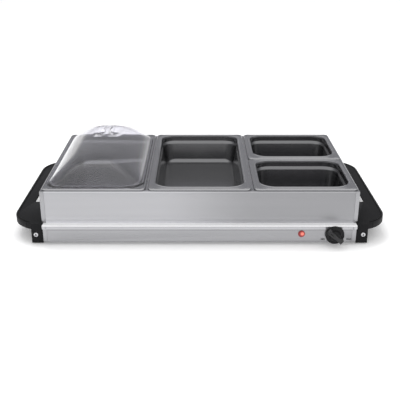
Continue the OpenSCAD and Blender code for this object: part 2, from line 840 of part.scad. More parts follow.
module frame_right() {
    color(steel) side_sheet(frame_w / 2, frame_d / 2, ledge_z, frame_top, foot_w, seat_w);
}

module frame_left() {
    mirror([1, 0, 0]) frame_right();
}

// An upside-down channel along Y whose ends step down under the folded seats.
module divider_bar(y0, y1, tuck) {
    half = divider_w / 2;
    top = frame_top;
    span([-half, y0, top - sheet], [half, y1, top]);
    for (s = [0, 1]) mirror([s, 0, 0])
        span([half - sheet, y0 - tuck[0], top - divider_h],
             [half, y1 + tuck[1], top - sheet]);
    if (tuck[0] > 0)
        span([-half, y0 - tuck[0], top - 2 * sheet], [half, y0 + 1, top - sheet]);
    if (tuck[1] > 0)
        span([-half, y1 - 1, top - 2 * sheet], [half, y1 + tuck[1], top - sheet]);
}

module right_divider() {
    end = frame_d / 2 - seat_w - 0.1;
    tuck = seat_w - sheet - 0.4;
    color(steel) translate([pitch / 2, 0, 0]) divider_bar(-end, end, [tuck, tuck]);
}

module left_divider() {
    mirror([1, 0, 0]) right_divider();
}

module cross_divider() {
    x0 = pitch / 2 + divider_w / 2 + 0.1;
    x1 = frame_w / 2 - seat_w - 0.1;
    color(steel) rotate([0, 0, -90]) divider_bar(x0, x1, [0, seat_w - sheet - 0.4]);
}

// ---------------------------------------------------------------- pans and lid

// Section of a pan's wall: rolled mouth, short upright band, shoulder, tapered wall and
// rounded foot, drawn outwards from the corner centre.
module pan_section() {
    slope_r = mouth_r - taper_in;
    foot_z = pan_floor + floor_r;
    edge_x = mouth_r + mouth_edge_r;
    edge_z = rim_z - mouth_edge_r;
    inside = concat(
        arc(edge_x, edge_z, mouth_edge_r, 90, 180),
        [[mouth_r, shoulder_z], [mouth_r - shoulder_in, shoulder_z - shoulder_drop]],
        arc(slope_r - floor_r + pan_t, foot_z, floor_r - pan_t, 0, -90));
    outside = concat(
        arc(slope_r - floor_r + pan_t, foot_z, floor_r, -90, 0),
        [[mouth_r - shoulder_in + pan_t, shoulder_z - shoulder_drop - 0.4],
         [mouth_r + pan_t, shoulder_z - 0.4]],
        arc(edge_x, edge_z, mouth_edge_r - pan_t, 180, 90));
    polygon(concat(inside, outside));
}

// Section of the turned-down edge of the rim.
module bead_section() {
    turn_x = rim_corner_r - bead_r;
    turn_z = rim_z - bead_r;
    polygon(concat([[rim_corner_r - pan_t, frame_top], [rim_corner_r, frame_top]],
        arc(turn_x, turn_z, bead_r, 0, 90), arc(turn_x, turn_z, bead_r - pan_t, 90, 0)));
}

// A pan from its overall rim size, centred on the origin in plan.
module pan(w, d) {
    mouth_hx = w / 2 - rim_w;
    mouth_hy = d / 2 - rim_w;
    in_r = mouth_r - taper_in - floor_r + pan_t;
    sweep_rect(mouth_hx, mouth_hy, mouth_r) pan_section();
    sweep_rect(w / 2, d / 2, rim_corner_r) bead_section();
    translate([0, 0, rim_z - pan_t]) linear_extrude(pan_t) difference() {
        round_rect(w / 2 - bead_r, d / 2 - bead_r, rim_corner_r - bead_r);
        round_rect(mouth_hx + mouth_edge_r, mouth_hy + mouth_edge_r, mouth_r + mouth_edge_r);
    }
    translate([0, 0, pan_floor]) linear_extrude(pan_t)
        round_rect(mouth_hx - mouth_r + in_r, mouth_hy - mouth_r + in_r, in_r);
}

module left_pan() {
    color(steel) translate([-pitch, 0, 0]) pan(pan_w, pan_d);
}

module middle_pan() {
    color(steel) pan(pan_w, pan_d);
}

module front_half_pan() {
    color(steel) translate([pitch, -(half_d + pan_gap) / 2, 0]) pan(pan_w, half_d);
}

module rear_half_pan() {
    color(steel) translate([pitch, (half_d + pan_gap) / 2, 0]) pan(pan_w, half_d);
}

// Point at fraction t of the way round a rounded rectangle, starting at the middle of its
// right-hand side and going anticlockwise.
function quarter(u, cx, cy, r) =
    let (a = u - cy, turn = r * PI / 2)
    a < 0 ? [cx + r, u] :
    a < turn ? [cx + r * cos(90 * a / turn), cy + r * sin(90 * a / turn)] :
    [cx - (a - turn), cy + r];
function rect_point(t, hx, hy, r) =
    let (cx = hx - r, cy = hy - r, q = cx + cy + r * PI / 2, k = floor(4 * t),
         u = (4 * t - k) * q, flip = k % 2 == 1,
         p = quarter(flip ? q - u : u, cx, cy, r))
    [p[0] * (k == 0 || k == 3 ? 1 : -1), p[1] * (k < 2 ? 1 : -1)];

// Shape of the dome, an arch from side to side with rounded ends, and the two finger
// recesses that leave a ridge between them.
function arch(p, hx, hy) =
    (1 - pow(min(abs(p[0] / hx), 1), 2)) * sqrt(1 - pow(min(abs(p[1] / hy), 1), 4));
function bump(q) = abs(q) < 1 ? pow(1 - q * q, 2) : 0;
function recess(p) =
    grip_deep * bump((abs(p[0]) - grip_x) / grip_wx) * bump((p[1] - grip_y) / grip_wy);

// Half sizes of the dome's foot, grown outwards by a distance.
function foot_x_at(grow) = pan_w / 2 - rim_w + lid_foot + grow;
function foot_y_at(grow) = pan_d / 2 - rim_w + lid_foot + grow;

// One ring of the dome's skin at fraction s from its crown to its foot: inset moves it
// inwards to make the wall.
function dome_ring(s, inset) =
    let (hx = foot_x_at(-inset), hy = foot_y_at(-inset), low = rim_z + lid_rim_t,
         rise = dome_h - lid_rim_t - inset)
    [for (i = [0:lid_points - 1])
        let (e = rect_point(i / lid_points, hx, hy, mouth_r - inset), p = e * s,
             lift = arch(p, hx, hy) - arch(e, hx, hy) * pow(s, 10))
        [p[0], p[1], low + rise * lift - recess(p)]];

// One flat ring, grown outwards from the dome's foot.
function flat_ring(grow, z) =
    [for (i = [0:lid_points - 1])
        let (p = rect_point(i / lid_points, foot_x_at(grow), foot_y_at(grow),
                            mouth_r + grow)) [p[0], p[1], z]];

module lid() {
    steps = [for (i = [1:lid_rings]) pow(i / lid_rings, 0.8)];
    lip_out = -lid_foot - lid_lip_t;
    rings = concat([for (s = steps) dome_ring(s, 0)],
        [flat_ring(lid_rim_w - 0.5, rim_z + lid_rim_t), flat_ring(lid_rim_w, rim_z + 1),
         flat_ring(lid_rim_w, rim_z), flat_ring(lip_out, rim_z),
         flat_ring(lip_out, rim_z - lid_lip_h),
         flat_ring(lip_out - lid_lip_t, rim_z - lid_lip_h),
         flat_ring(lip_out - lid_lip_t, rim_z + lid_rim_t)],
        [for (i = [1:lid_rings]) dome_ring(steps[lid_rings - i], dome_t)]);
    n = lid_points;
    m = len(rings);
    points = concat([for (ring = rings) for (p = ring) p],
        [[0, 0, rim_z + dome_h], [0, 0, rim_z + dome_h - dome_t]]);
    skin = [for (j = [0:m - 2], i = [0:n - 1])
        let (a = j * n + i, b = j * n + (i + 1) % n)
        each [[a, b, b + n], [a, b + n, a + n]]];
    crown = [for (i = [0:n - 1]) [m * n, (i + 1) % n, i]];
    under = [for (i = [0:n - 1]) [m * n + 1, (m - 1) * n + i, (m - 1) * n + (i + 1) % n]];
    color([0.85, 0.9, 0.95, 0.4]) translate([-pitch, 0, 0])
        polyhedron(points = points, faces = concat(skin, crown, under), convexity = 6);
}

deck();
front_panel();
rear_panel();
left_side_panel();
right_side_panel();
bottom_cover();
bottom_screws();
left_handle();
right_handle();
handle_brackets();
handle_screws();
rubber_feet();
heat_spreader();
heating_element();
element_clips();
insulation_pad();
heat_shield();
shield_studs();
shield_nuts();
terminal_block();
terminal_screws();
thermal_fuse();
fuse_clamp();
live_lead();
fuse_lead();
element_lead();
neutral_lead();
lamp_leads();
earth_lead();
earth_stud();
cord_gland();
gland_nut();
pilot_lens();
pilot_retainer();
neon_bulb();
thermostat_bracket();
thermostat_bushing();
thermostat_nut();
thermostat_stack();
contact_blades();
knob();
thermostat_shaft();
frame_front();
frame_rear();
frame_left();
frame_right();
left_divider();
right_divider();
cross_divider();
left_pan();
middle_pan();
front_half_pan();
rear_half_pan();
lid();
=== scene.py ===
# %% [markdown]
# # An electric buffet server
# A low heated base with black end handles carries a lift-off steel frame, four pans and one
# clear lid. The engineering model gives every part its exact place and size, so it is loaded
# first and never moved. This script then gives each part the finish of the real thing, and
# rebuilds the pieces whose softness or crispness the plain parts can't show.

# %% Load the frame
import json
import math

import bmesh
import bpy
from mathutils import Matrix, Vector


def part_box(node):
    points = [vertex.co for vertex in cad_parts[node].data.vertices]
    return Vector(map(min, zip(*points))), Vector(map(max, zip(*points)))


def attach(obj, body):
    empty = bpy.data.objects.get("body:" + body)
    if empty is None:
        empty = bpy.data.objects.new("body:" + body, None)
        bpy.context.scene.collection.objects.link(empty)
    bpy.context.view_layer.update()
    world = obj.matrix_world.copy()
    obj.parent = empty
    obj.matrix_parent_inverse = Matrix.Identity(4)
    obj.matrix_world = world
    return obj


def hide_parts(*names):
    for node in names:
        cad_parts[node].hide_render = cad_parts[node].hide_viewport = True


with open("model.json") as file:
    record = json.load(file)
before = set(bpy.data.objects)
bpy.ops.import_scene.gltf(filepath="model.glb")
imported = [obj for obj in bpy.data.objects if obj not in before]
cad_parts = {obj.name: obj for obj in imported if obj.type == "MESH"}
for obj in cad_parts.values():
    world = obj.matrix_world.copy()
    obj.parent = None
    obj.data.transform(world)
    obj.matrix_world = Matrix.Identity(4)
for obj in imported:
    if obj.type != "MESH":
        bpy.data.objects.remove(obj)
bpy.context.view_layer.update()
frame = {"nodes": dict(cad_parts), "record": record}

MM = 0.001
bpy.context.scene.view_settings.view_transform = "Standard"

# %% [markdown]
# ## Camera
# The server is seen from the front and a little above, through a long lens that keeps its
# sides nearly parallel. A camera could be aimed with a constraint, but a plain rotation about
# X is enough here, because the camera stands right in front.

# %% Camera
DIP = 21.664  # degrees that the camera looks down


def into_scene(thing):
    bpy.context.scene.collection.objects.link(thing)
    return thing


camera_data = bpy.data.cameras.new("front_camera")
camera_data.lens = 64.8
camera_data.sensor_width = 36
camera_data.shift_x = 0.001
camera = into_scene(bpy.data.objects.new("front_camera", camera_data))
camera.location = (0, -1.29485, 0.52775)
camera.rotation_euler = (math.radians(90 - DIP), 0, 0)
bpy.context.scene.camera = camera
print("camera at", tuple(camera.location))

# %% [markdown]
# ## A short way to write node trees
# Shaders and Geometry Nodes are both trees of nodes joined by links. Writing each link out
# makes long scripts, so one helper adds a node, fills in its inputs and joins any socket it
# is given. Three more do sums, blend two colours, and rise smoothly from 0 to 1 between two
# values, which is what most nodes in a rule are for. The last splits a place into X, Y and Z.

# %% Helpers for node trees
def add(tree, kind, inputs=None, **settings):
    made = tree.nodes.new(kind)
    for key, value in settings.items():
        setattr(made, key, value)
    for key, value in (inputs or {}).items():
        if isinstance(value, bpy.types.NodeSocket):
            tree.links.new(value, made.inputs[key])
        else:
            made.inputs[key].default_value = value
    return made


def sum_of(tree, operation, a, b=0.0, c=0.0):
    return add(tree, "ShaderNodeMath", {0: a, 1: b, 2: c}, operation=operation).outputs[0]


def ramp(tree, value, low, high):
    return add(tree, "ShaderNodeMapRange", {"Value": value, "From Min": low, "From Max": high},
               interpolation_type="SMOOTHSTEP").outputs[0]


def mix(tree, fac, first, second):
    return add(tree, "ShaderNodeMix", {0: fac, 6: first, 7: second},
               data_type="RGBA").outputs[2]


def place_axes(tree, space="Object"):
    return add(tree, "ShaderNodeSeparateXYZ",
               {0: add(tree, "ShaderNodeTexCoord").outputs[space]}).outputs


print("helpers ready")

# %% [markdown]
# ## Light
# A product like this is lit in a white tent, so that its steel has something pale to mirror.
# A tent could be built from sheets, but the world can be the tent and costs nothing. A grey
# card hangs low round its back and sides. The flat rims mirror the card, so they show darker
# than the rounded edges, which mirror the tent's roof. One wide softbox hangs overhead and a
# little to the left. Light from straight above, with the deck top's painted highlight, makes
# the ledge the brightest band of all and leaves a narrow shadow round the foot. The softbox
# is kept out of reflections, because a square glare on the clear lid would hide its shape.

# %% Tent
world = bpy.data.worlds.new("white_tent")
world.use_nodes = True
tent = world.node_tree
sky = tent.nodes["Background"]
sky.inputs["Strength"].default_value = 1.02
facing = place_axes(tent, "Generated")
above = ramp(tent, facing["Z"], 0.02, 0.14)
below = ramp(tent, facing["Z"], 0.72, 0.5)
behind = ramp(tent, facing["Y"], -0.4, 0.3)
card = sum_of(tent, "MULTIPLY", sum_of(tent, "MULTIPLY", above, below), behind)
WHITE, CARD_GREY = (1, 1, 1, 1), (0.37, 0.37, 0.39, 1)
tent.links.new(mix(tent, card, WHITE, CARD_GREY), sky.inputs["Color"])
bpy.context.scene.world = world
print("tent ready, with", len(tent.nodes), "nodes")

# %% Softbox
hung_at, aimed_at = Vector((-0.25, 0.5, 1.7)), Vector((-0.1, 0, 0))
softbox = bpy.data.lights.new("top_softbox", "AREA")
softbox.shape = "RECTANGLE"
softbox.size, softbox.size_y = 1.3, 0.6
softbox.energy = 14
lamp = into_scene(bpy.data.objects.new("top_softbox", softbox))
lamp.location = hung_at
lamp.rotation_euler = (aimed_at - hung_at).to_track_quat("-Z", "Y").to_euler()
lamp.visible_glossy = False
lamp.visible_transmission = False
print("softbox hangs", round(hung_at.z, 2), "m up")

# %% [markdown]
# ## Floor
# The floor is one wide sheet of pale translucent paper, lit a little from below as a light
# table is, so that even the gap under the base isn't black. A tiny unevenness in its tone
# keeps it from looking computed, and it runs so far back that no horizon shows. The helpers
# that start a finish, place a pattern, shade it and raise it serve every finish after this.

# %% Floor
def new_finish(name, constants):
    finish = bpy.data.materials.new(name)
    finish.use_nodes = True
    shader = finish.node_tree.nodes["Principled BSDF"]
    for socket, value in constants.items():
        shader.inputs[socket].default_value = value
    return finish, finish.node_tree, shader


def pattern(tree, kind, stretch, inputs, **settings):
    where = add(tree, "ShaderNodeTexCoord").outputs["Object"]
    placed = add(tree, "ShaderNodeMapping", {"Vector": where, "Scale": stretch})
    return add(tree, kind, {"Vector": placed.outputs[0], **inputs}, **settings)


def shade(tree, shader, fac, dark, light):
    tree.links.new(mix(tree, fac, (*dark, 1), (*light, 1)), shader.inputs["Base Color"])


def spread(tree, fac, low, high):
    return add(tree, "ShaderNodeMapRange",
               {"Value": fac, "From Min": 0.3, "From Max": 0.7, "To Min": low,
                "To Max": high}).outputs[0]


def raised(tree, shader, fac, strength, depth):
    relief = add(tree, "ShaderNodeBump",
                 {"Height": fac, "Strength": strength, "Distance": depth})
    tree.links.new(relief.outputs[0], shader.inputs["Normal"])


def rough_and_bump(tree, shader, fac, rough, strength, depth):
    tree.links.new(spread(tree, fac, *rough), shader.inputs["Roughness"])
    raised(tree, shader, fac, strength, depth)


def mesh_piece(name, points, faces, edges=()):
    mesh = bpy.data.meshes.new(name)
    mesh.from_pydata(points, edges, faces)
    return into_scene(bpy.data.objects.new(name, mesh))


paper, tree, shader = new_finish("floor_paper", {
    "Roughness": 0.9, "Specular IOR Level": 0.1, "Emission Color": (1, 1, 1, 1),
    "Emission Strength": 0.16})
fibre = pattern(tree, "ShaderNodeTexNoise", (3, 3, 3), {"Scale": 1.0, "Detail": 2.0})
shade(tree, shader, fibre.outputs[0], (0.93, 0.93, 0.935), (0.96, 0.96, 0.96))
HALF_FLOOR = 30
corners = [(x * HALF_FLOOR, y * HALF_FLOOR, 0) for x, y in ((-1, -1), (1, -1), (1, 1), (-1, 1))]
floor = mesh_piece("floor", corners, [(0, 1, 2, 3)])
floor.data.materials.append(paper)
print("floor is", 2 * HALF_FLOOR, "m wide")

# %% [markdown]
# ## Brushed steel
# The base and the frame are folded from sheet that was rubbed one way with an abrasive belt.
# The belt leaves fine parallel scratches, which spread every reflection across the grain.
# A scan of real steel could be mapped on, but a noise squeezed hard in one direction makes
# the same scratches at any size. Two of them are laid together: hair-fine ones for the
# sheen, and broad faint bands for the way a sheet is never even along its length. A finish
# can also be given slopes of painted light and shade, which make a sheet lighter or darker
# towards an edge: an axis, where the change starts, where it is full, and its factor.

# %% Recipe for brushed steel
HAIRS_ACROSS, HAIRS_ALONG = 1100, 9
BANDS_ACROSS, BANDS_ALONG = 34, 2.2


# A slope scales the colour, so it paints light or shade into the steel.
def brighten(tree, shader, axis, start, end, factor):
    reach = ramp(tree, place_axes(tree)[axis], start, end)
    gain = sum_of(tree, "MULTIPLY_ADD", reach, factor - 1.0, 1.0)
    old = shader.inputs["Base Color"].links[0].from_socket
    scaled = add(tree, "ShaderNodeVectorMath", {0: old, "Scale": gain}, operation="SCALE")
    tree.links.new(scaled.outputs[0], shader.inputs["Base Color"])


def brushed_steel(name, tint, along, rough, slopes=()):
    finish, tree, shader = new_finish(name, {"Metallic": 1.0, "Anisotropic": 0.35})
    fine_scale, band_scale = [HAIRS_ACROSS] * 3, [BANDS_ACROSS] * 3
    fine_scale[along], band_scale[along] = HAIRS_ALONG, BANDS_ALONG
    hairs = pattern(tree, "ShaderNodeTexNoise", fine_scale,
                    {"Scale": 1.0, "Detail": 3.0, "Roughness": 0.65}).outputs[0]
    bands = pattern(tree, "ShaderNodeTexNoise", band_scale,
                    {"Scale": 1.0, "Detail": 2.0}).outputs[0]
    both = sum_of(tree, "MULTIPLY_ADD", bands, 0.6, sum_of(tree, "MULTIPLY", hairs, 0.4))
    shade(tree, shader, both, [0.86 * c for c in tint], [1.14 * c for c in tint])
    rough_and_bump(tree, shader, hairs, (rough - 0.05, rough + 0.07), 0.12, 0.0001)
    for axis, start, end, factor in slopes:
        brighten(tree, shader, axis, start, end, factor)
    return finish


print("grain is", HAIRS_ACROSS // HAIRS_ALONG, "times finer across than along")

# %% [markdown]
# ## Which sheet takes which steel
# The front panel and the frame's front sheet are the two large bands of steel. The panel's
# colour carries a painted shadow in a thin band just under the deck's lip, a painted glow
# from the floor's paper that is lightest near its foot, and painted shade that falls off a
# little to the right. The frame's sheet is matter and paler. Its colour carries painted shade
# falling off to the right, and painted highlights at its foot, above the pale ledge, and
# along its top fold. Grain runs front to back on the side sheets.

# %% Brushed steels
steel_tint = (0.37, 0.37, 0.383)
panel_foot, panel_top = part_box("front_panel")[0].z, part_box("front_panel")[1].z
sheet_low, sheet_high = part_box("frame_front")
end_x, sheet_foot, sheet_top = sheet_high.x, sheet_low.z, sheet_high.z
# Painted light and shade: darker to the right, lighter near the foot, a shadow under the lip.
steel_across = brushed_steel("steel_grain_across", steel_tint, 0, 0.30, slopes=(
    ("X", -0.5 * end_x, 0.6 * end_x, 0.92),
    ("Z", panel_foot + 16 * MM, panel_foot + 2 * MM, 1.12),
    ("Z", panel_top - 7.2 * MM, panel_top - 6.4 * MM, 0.72)))
frame_tint = [1.24 * c for c in steel_tint]
# Painted light and shade: darker to the right, highlights at the foot and the top fold.
frame_steel = brushed_steel("frame_sheet_steel", frame_tint, 0, 0.42, slopes=(
    ("X", -0.3 * end_x, 0.4 * end_x, 0.70),
    ("Z", sheet_foot + 14 * MM, sheet_foot + 2 * MM, 1.35),
    ("Z", sheet_foot + 5 * MM, sheet_foot + 1 * MM, 1.35),
    ("Z", sheet_top - 1.6 * MM, sheet_top - 0.9 * MM, 1.45)))
steel_deep = brushed_steel("steel_grain_deep", steel_tint, 1, 0.30)
bar_steel = brushed_steel("bar_steel", (0.42, 0.42, 0.435), 1, 0.26)
print("brushed steels", steel_across.name, steel_deep.name, bar_steel.name)

# %% [markdown]
# ## Pressed pan steel
# The pans are drawn in a press and then blasted lightly, so they are satin all over with no
# one direction. A soft cloudiness comes from handling. The colour is painted lighter above
# the mouth, a painted highlight on the rims, and darker down in the pan, painted shade. One
# material with two slopes by height keeps rim and pan in one piece, where two materials
# would leave a hard line between them.

# %% Pan steel
pan_steel, tree, shader = new_finish("pan_steel", {"Metallic": 1.0})
satin = pattern(tree, "ShaderNodeTexNoise", (1400, 1400, 1400),
                {"Scale": 1.0, "Detail": 2.0}).outputs[0]
cloud = pattern(tree, "ShaderNodeTexNoise", (11, 11, 11),
                {"Scale": 1.0, "Detail": 4.0, "Roughness": 0.6}).outputs[0]
shade(tree, shader, cloud, (0.275, 0.275, 0.282), (0.325, 0.325, 0.334))
mixed = sum_of(tree, "MULTIPLY_ADD", cloud, 0.55, sum_of(tree, "MULTIPLY", satin, 0.45))
rough_and_bump(tree, shader, mixed, (0.17, 0.24), 0.05, 0.0001)
pan_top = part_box("middle_pan")[1].z
# Painted highlight on the rim, then painted shade down in the pan.
brighten(tree, shader, "Z", pan_top - 3.2 * MM, pan_top - 1.4 * MM, 1.35)
brighten(tree, shader, "Z", pan_top - 9.5 * MM, pan_top - 11.5 * MM, 0.7)
print("pan steel ready")

# %% [markdown]
# ## Moulded plastics and rubber
# The handles and the knob are black nylon from a tool with an etched, leathery skin. The
# skin is a cell pattern about a third of a millimetre across. It scatters the light enough
# to lift black to charcoal, so the colour itself is kept almost black. The knob's bar is
# painted a shade paler than its skirt, a painted highlight for the light on its flanks.

# %% Plastics
def moulded(name, dark, light, rough, cell=2600, skin=0.18, shine=0.3):
    finish, tree, shader = new_finish(name, {"Specular IOR Level": shine})
    cells = pattern(tree, "ShaderNodeTexVoronoi", (1, 1, 1), {"Scale": cell},
                    feature="SMOOTH_F1").outputs["Distance"]
    wear = pattern(tree, "ShaderNodeTexNoise", (60, 60, 60),
                   {"Scale": 1.0, "Detail": 5.0}).outputs[0]
    shade(tree, shader, wear, dark, light)
    rough_and_bump(tree, shader, cells, (rough - 0.06, rough + 0.06), skin, 0.0002)
    return finish


handle_plastic = moulded("handle_plastic", (0.009, 0.009, 0.010), (0.014, 0.014, 0.015), 0.55,
                         shine=0.1)
knob_plastic = moulded("knob_plastic", (0.004, 0.004, 0.005), (0.008, 0.008, 0.009), 0.3,
                       skin=0.1, shine=0.22)
# The bar's paler copy is a painted highlight.
knob_bar_painted_highlight = moulded("knob_bar_painted_highlight", (0.022, 0.022, 0.023), (0.034, 0.034, 0.035),
                           0.4, skin=0.1)
gland_plastic = moulded("gland_plastic", (0.012, 0.012, 0.013), (0.02, 0.02, 0.022), 0.4)
foot_rubber = moulded("foot_rubber", (0.012, 0.012, 0.012), (0.022, 0.022, 0.021), 0.75, 1500)
block_plastic = moulded("block_plastic", (0.66, 0.64, 0.55), (0.74, 0.72, 0.63), 0.42, 1800)
ceramic = moulded("stack_ceramic", (0.66, 0.63, 0.56), (0.76, 0.74, 0.67), 0.7, 1300)
# Near black, darker than the handle: painted shade along the handle's raised edge line.
edge_line_painted_shade = moulded("edge_line_painted_shade", (0.003, 0.003, 0.003), (0.006, 0.006, 0.006), 0.4,
                       shine=0.06)
print("plastics ready")

# %% [markdown]
# ## Insulated leads
# Each lead has a braided or silicone sleeve whose colour says what it carries. Real braid
# could be modelled thread by thread, but the leads are hidden most of the time. A fine wave
# across the lead does as well, with its colour darker in the hollows as painted shade.

# %% Lead sleeves
def sleeve(name, colour):
    finish, tree, shader = new_finish(name, {"Roughness": 0.55})
    braid = pattern(tree, "ShaderNodeTexWave", (1, 1, 1),
                    {"Scale": 420.0, "Distortion": 1.5, "Detail": 2.0},
                    bands_direction="DIAGONAL").outputs[0]
    # The braid's hollows are darker: painted shade.
    shade(tree, shader, braid, [0.62 * c for c in colour], colour)
    raised(tree, shader, braid, 0.3, 0.0002)
    return finish


lead_brown = sleeve("lead_brown", (0.17, 0.075, 0.03))
lead_white = sleeve("lead_white", (0.66, 0.65, 0.6))
lead_blue = sleeve("lead_blue", (0.03, 0.07, 0.33))
lead_green = sleeve("lead_green", (0.14, 0.3, 0.03))
print("sleeves ready")

# %% [markdown]
# ## Plated, cast and turned metals
# Inside are zinc-plated clips, a rolled aluminium spreader, brass terminals and a heating
# tube that has coloured with heat. They differ in tint, in how rough they are and in the
# size of their mottle, so one recipe with those three as its inputs makes them all. The
# cross in each screw head is painted near black as painted shade in the recess. The heads
# carry a mark on those points, and the finish reads it, so no second material is needed.

# %% Other metals
def mottled_metal(name, dark, light, rough, size):
    finish, tree, shader = new_finish(name, {"Metallic": 1.0})
    mottle = pattern(tree, "ShaderNodeTexNoise", (size, size, size),
                     {"Scale": 1.0, "Detail": 5.0, "Roughness": 0.6}).outputs[0]
    shade(tree, shader, mottle, dark, light)
    rough_and_bump(tree, shader, mottle, (rough - 0.07, rough + 0.09), 0.08, 0.0002)
    return finish


screw_steel = mottled_metal("screw_steel", (0.6, 0.6, 0.62), (0.76, 0.76, 0.78), 0.25, 300)
bottom_steel = mottled_metal("bottom_steel", (0.33, 0.34, 0.35), (0.47, 0.48, 0.49), 0.42, 70)
inner_steel = mottled_metal("inner_steel", (0.44, 0.45, 0.46), (0.58, 0.59, 0.6), 0.33, 160)
aluminium = mottled_metal("spreader_aluminium", (0.62, 0.63, 0.64), (0.72, 0.73, 0.74), 0.35, 90)
brass = mottled_metal("fitting_brass", (0.5, 0.36, 0.13), (0.66, 0.5, 0.22), 0.28, 240)
hot_tube = mottled_metal("element_tube", (0.07, 0.06, 0.06), (0.2, 0.17, 0.16), 0.5, 120)


def paint_over(tree, shader, fac, colour):
    bare = shader.inputs["Base Color"].links[0].from_socket
    tree.links.new(mix(tree, fac, bare, (*colour, 1)), shader.inputs["Base Color"])


tree = screw_steel.node_tree
# Painted shade: the screw's cross recess is darkened to near black.
recess_shade_fac = add(tree, "ShaderNodeAttribute", attribute_name="recess").outputs["Fac"]
paint_over(tree, tree.nodes["Principled BSDF"], recess_shade_fac, (0.02, 0.02, 0.02))
print("metals ready")

# %% [markdown]
# ## Mineral wool
# The pad under the heater is pressed mineral wool: short fibres lying every way, with tufts
# a few millimetres across. Hair could be grown on it, but one noise with much fine detail
# stands in for the tangle at a fraction of the cost.

# %% Mineral wool
mineral_wool, tree, shader = new_finish("mineral_wool", {"Roughness": 0.95,
                                                         "Specular IOR Level": 0.1})
tufts = pattern(tree, "ShaderNodeTexNoise", (150, 150, 420),
                {"Scale": 1.0, "Detail": 7.0, "Roughness": 0.75}).outputs[0]
shade(tree, shader, tufts, (0.42, 0.36, 0.2), (0.72, 0.66, 0.47))
raised(tree, shader, tufts, 0.8, 0.001)
print("wool ready")

# %% [markdown]
# ## Clear lid plastic
# The lid is clear styrene, a little cloudy from washing. Most light goes through it, with a
# faint lilac tint that deepens where the wall is seen edge on. A thin transparent film would
# be quicker, but the wall has a true thickness for light to bend through, so real glass
# shading is used.

# %% Clear plastic
lid_clear, tree, shader = new_finish("lid_clear", {"Transmission Weight": 0.97, "IOR": 1.36,
                                                   "Specular IOR Level": 0.5})
bloom = pattern(tree, "ShaderNodeTexNoise", (26, 26, 26),
                {"Scale": 1.0, "Detail": 4.0}).outputs[0]
shade(tree, shader, bloom, (0.93, 0.925, 0.965), (0.955, 0.95, 0.985))
tree.links.new(spread(tree, bloom, 0.01, 0.04), shader.inputs["Roughness"])
print("clear plastic ready")

# %% [markdown]
# ## Red lens and the glow behind it
# The pilot lamp is a neon bulb behind a red dome. The glow gathers in one bright salmon spot
# above and to the right of the middle and falls off to dark red at the rim. A lamp behind a
# clear lens would do it at the cost of much noise, so a gradient that is centred on the spot
# drives both the colour and the light given off.

# %% Red lens
lens_low, lens_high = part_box("pilot_lens")
lens_mid = (lens_low + lens_high) / 2
lens_red, tree, shader = new_finish("lens_red", {"Roughness": 0.12, "Coat Weight": 0.5,
                                                 "Emission Strength": 0.75})
where = add(tree, "ShaderNodeTexCoord").outputs["Object"]
spot = (lens_mid.x + 1.2 * MM, lens_low.y, lens_mid.z + 1.0 * MM)
away = add(tree, "ShaderNodeVectorMath", {0: where, 1: spot}, operation="DISTANCE")
glow = add(tree, "ShaderNodeMapRange", {
    "Value": away.outputs["Value"], "From Min": 0.8 * MM, "From Max": 4.4 * MM, "To Min": 1.0,
    "To Max": 0.0}).outputs[0]
ribs = pattern(tree, "ShaderNodeTexVoronoi", (1, 1, 1), {"Scale": 700.0}).outputs[0]
shade(tree, shader, glow, (0.13, 0.006, 0.006), (0.6, 0.07, 0.05))
heat = mix(tree, glow, (0.16, 0.005, 0.004, 1), (1.0, 0.3, 0.22, 1))
tree.links.new(heat, shader.inputs["Emission Color"])
raised(tree, shader, ribs, 0.25, 0.0003)
neon_glow, tree, shader = new_finish("neon_glow", {"Roughness": 0.1,
                                                   "Emission Strength": 1.5})
haze = pattern(tree, "ShaderNodeTexNoise", (400, 400, 400), {"Scale": 1.0}).outputs[0]
shade(tree, shader, haze, (0.8, 0.3, 0.1), (1.0, 0.5, 0.2))
heat = mix(tree, haze, (1.0, 0.22, 0.05, 1), (1.0, 0.4, 0.15, 1))
tree.links.new(heat, shader.inputs["Emission Color"])
print("lens glow centred at", [round(v / MM, 1) for v in spot])

# %% [markdown]
# ## Finishes for the parts that stay as they are
# Parts could be dressed one by one, but each part of the record names a material slot, so one
# table from slot to finish dresses them all. The side sheets and the two long bars are the
# exceptions, because their grain runs front to back.

# %% Dress the parts
finish_of_slot = {
    "base_steel": steel_across, "frame_steel": frame_steel, "bottom_steel": bottom_steel,
    "screw_steel": screw_steel, "handle_plastic": handle_plastic, "foot_rubber": foot_rubber,
    "spreader_aluminium": aluminium, "element_tube": hot_tube, "inner_steel": inner_steel,
    "mineral_wool": mineral_wool, "block_plastic": block_plastic, "fitting_brass": brass,
    "lead_brown": lead_brown, "lead_white": lead_white, "lead_blue": lead_blue,
    "lead_green": lead_green, "gland_plastic": gland_plastic, "lens_red": lens_red,
    "bulb_glass": neon_glow, "stack_ceramic": ceramic, "knob_plastic": knob_plastic,
    "pan_steel": pan_steel, "lid_plastic": lid_clear,
}
deep_grain = {"left_side_panel", "right_side_panel", "frame_left", "frame_right"}
bars = {"left_divider", "right_divider"}
slot_of = {p["node"]: p["material_slot"] for p in frame["record"]["subparts"]}
body_of = {n: b for b, members in frame["record"]["behaviour"]["bodies"].items()
           for n in members}


def finish_for(node):
    if node in deep_grain:
        return steel_deep
    return bar_steel if node in bars else finish_of_slot[slot_of[node]]


def dress(piece, finish):
    piece.data.materials.clear()
    piece.data.materials.append(finish)


for node, part in frame["nodes"].items():
    dress(part, finish_for(node))
print("dressed", len(slot_of), "parts with", len(finish_of_slot), "finishes")

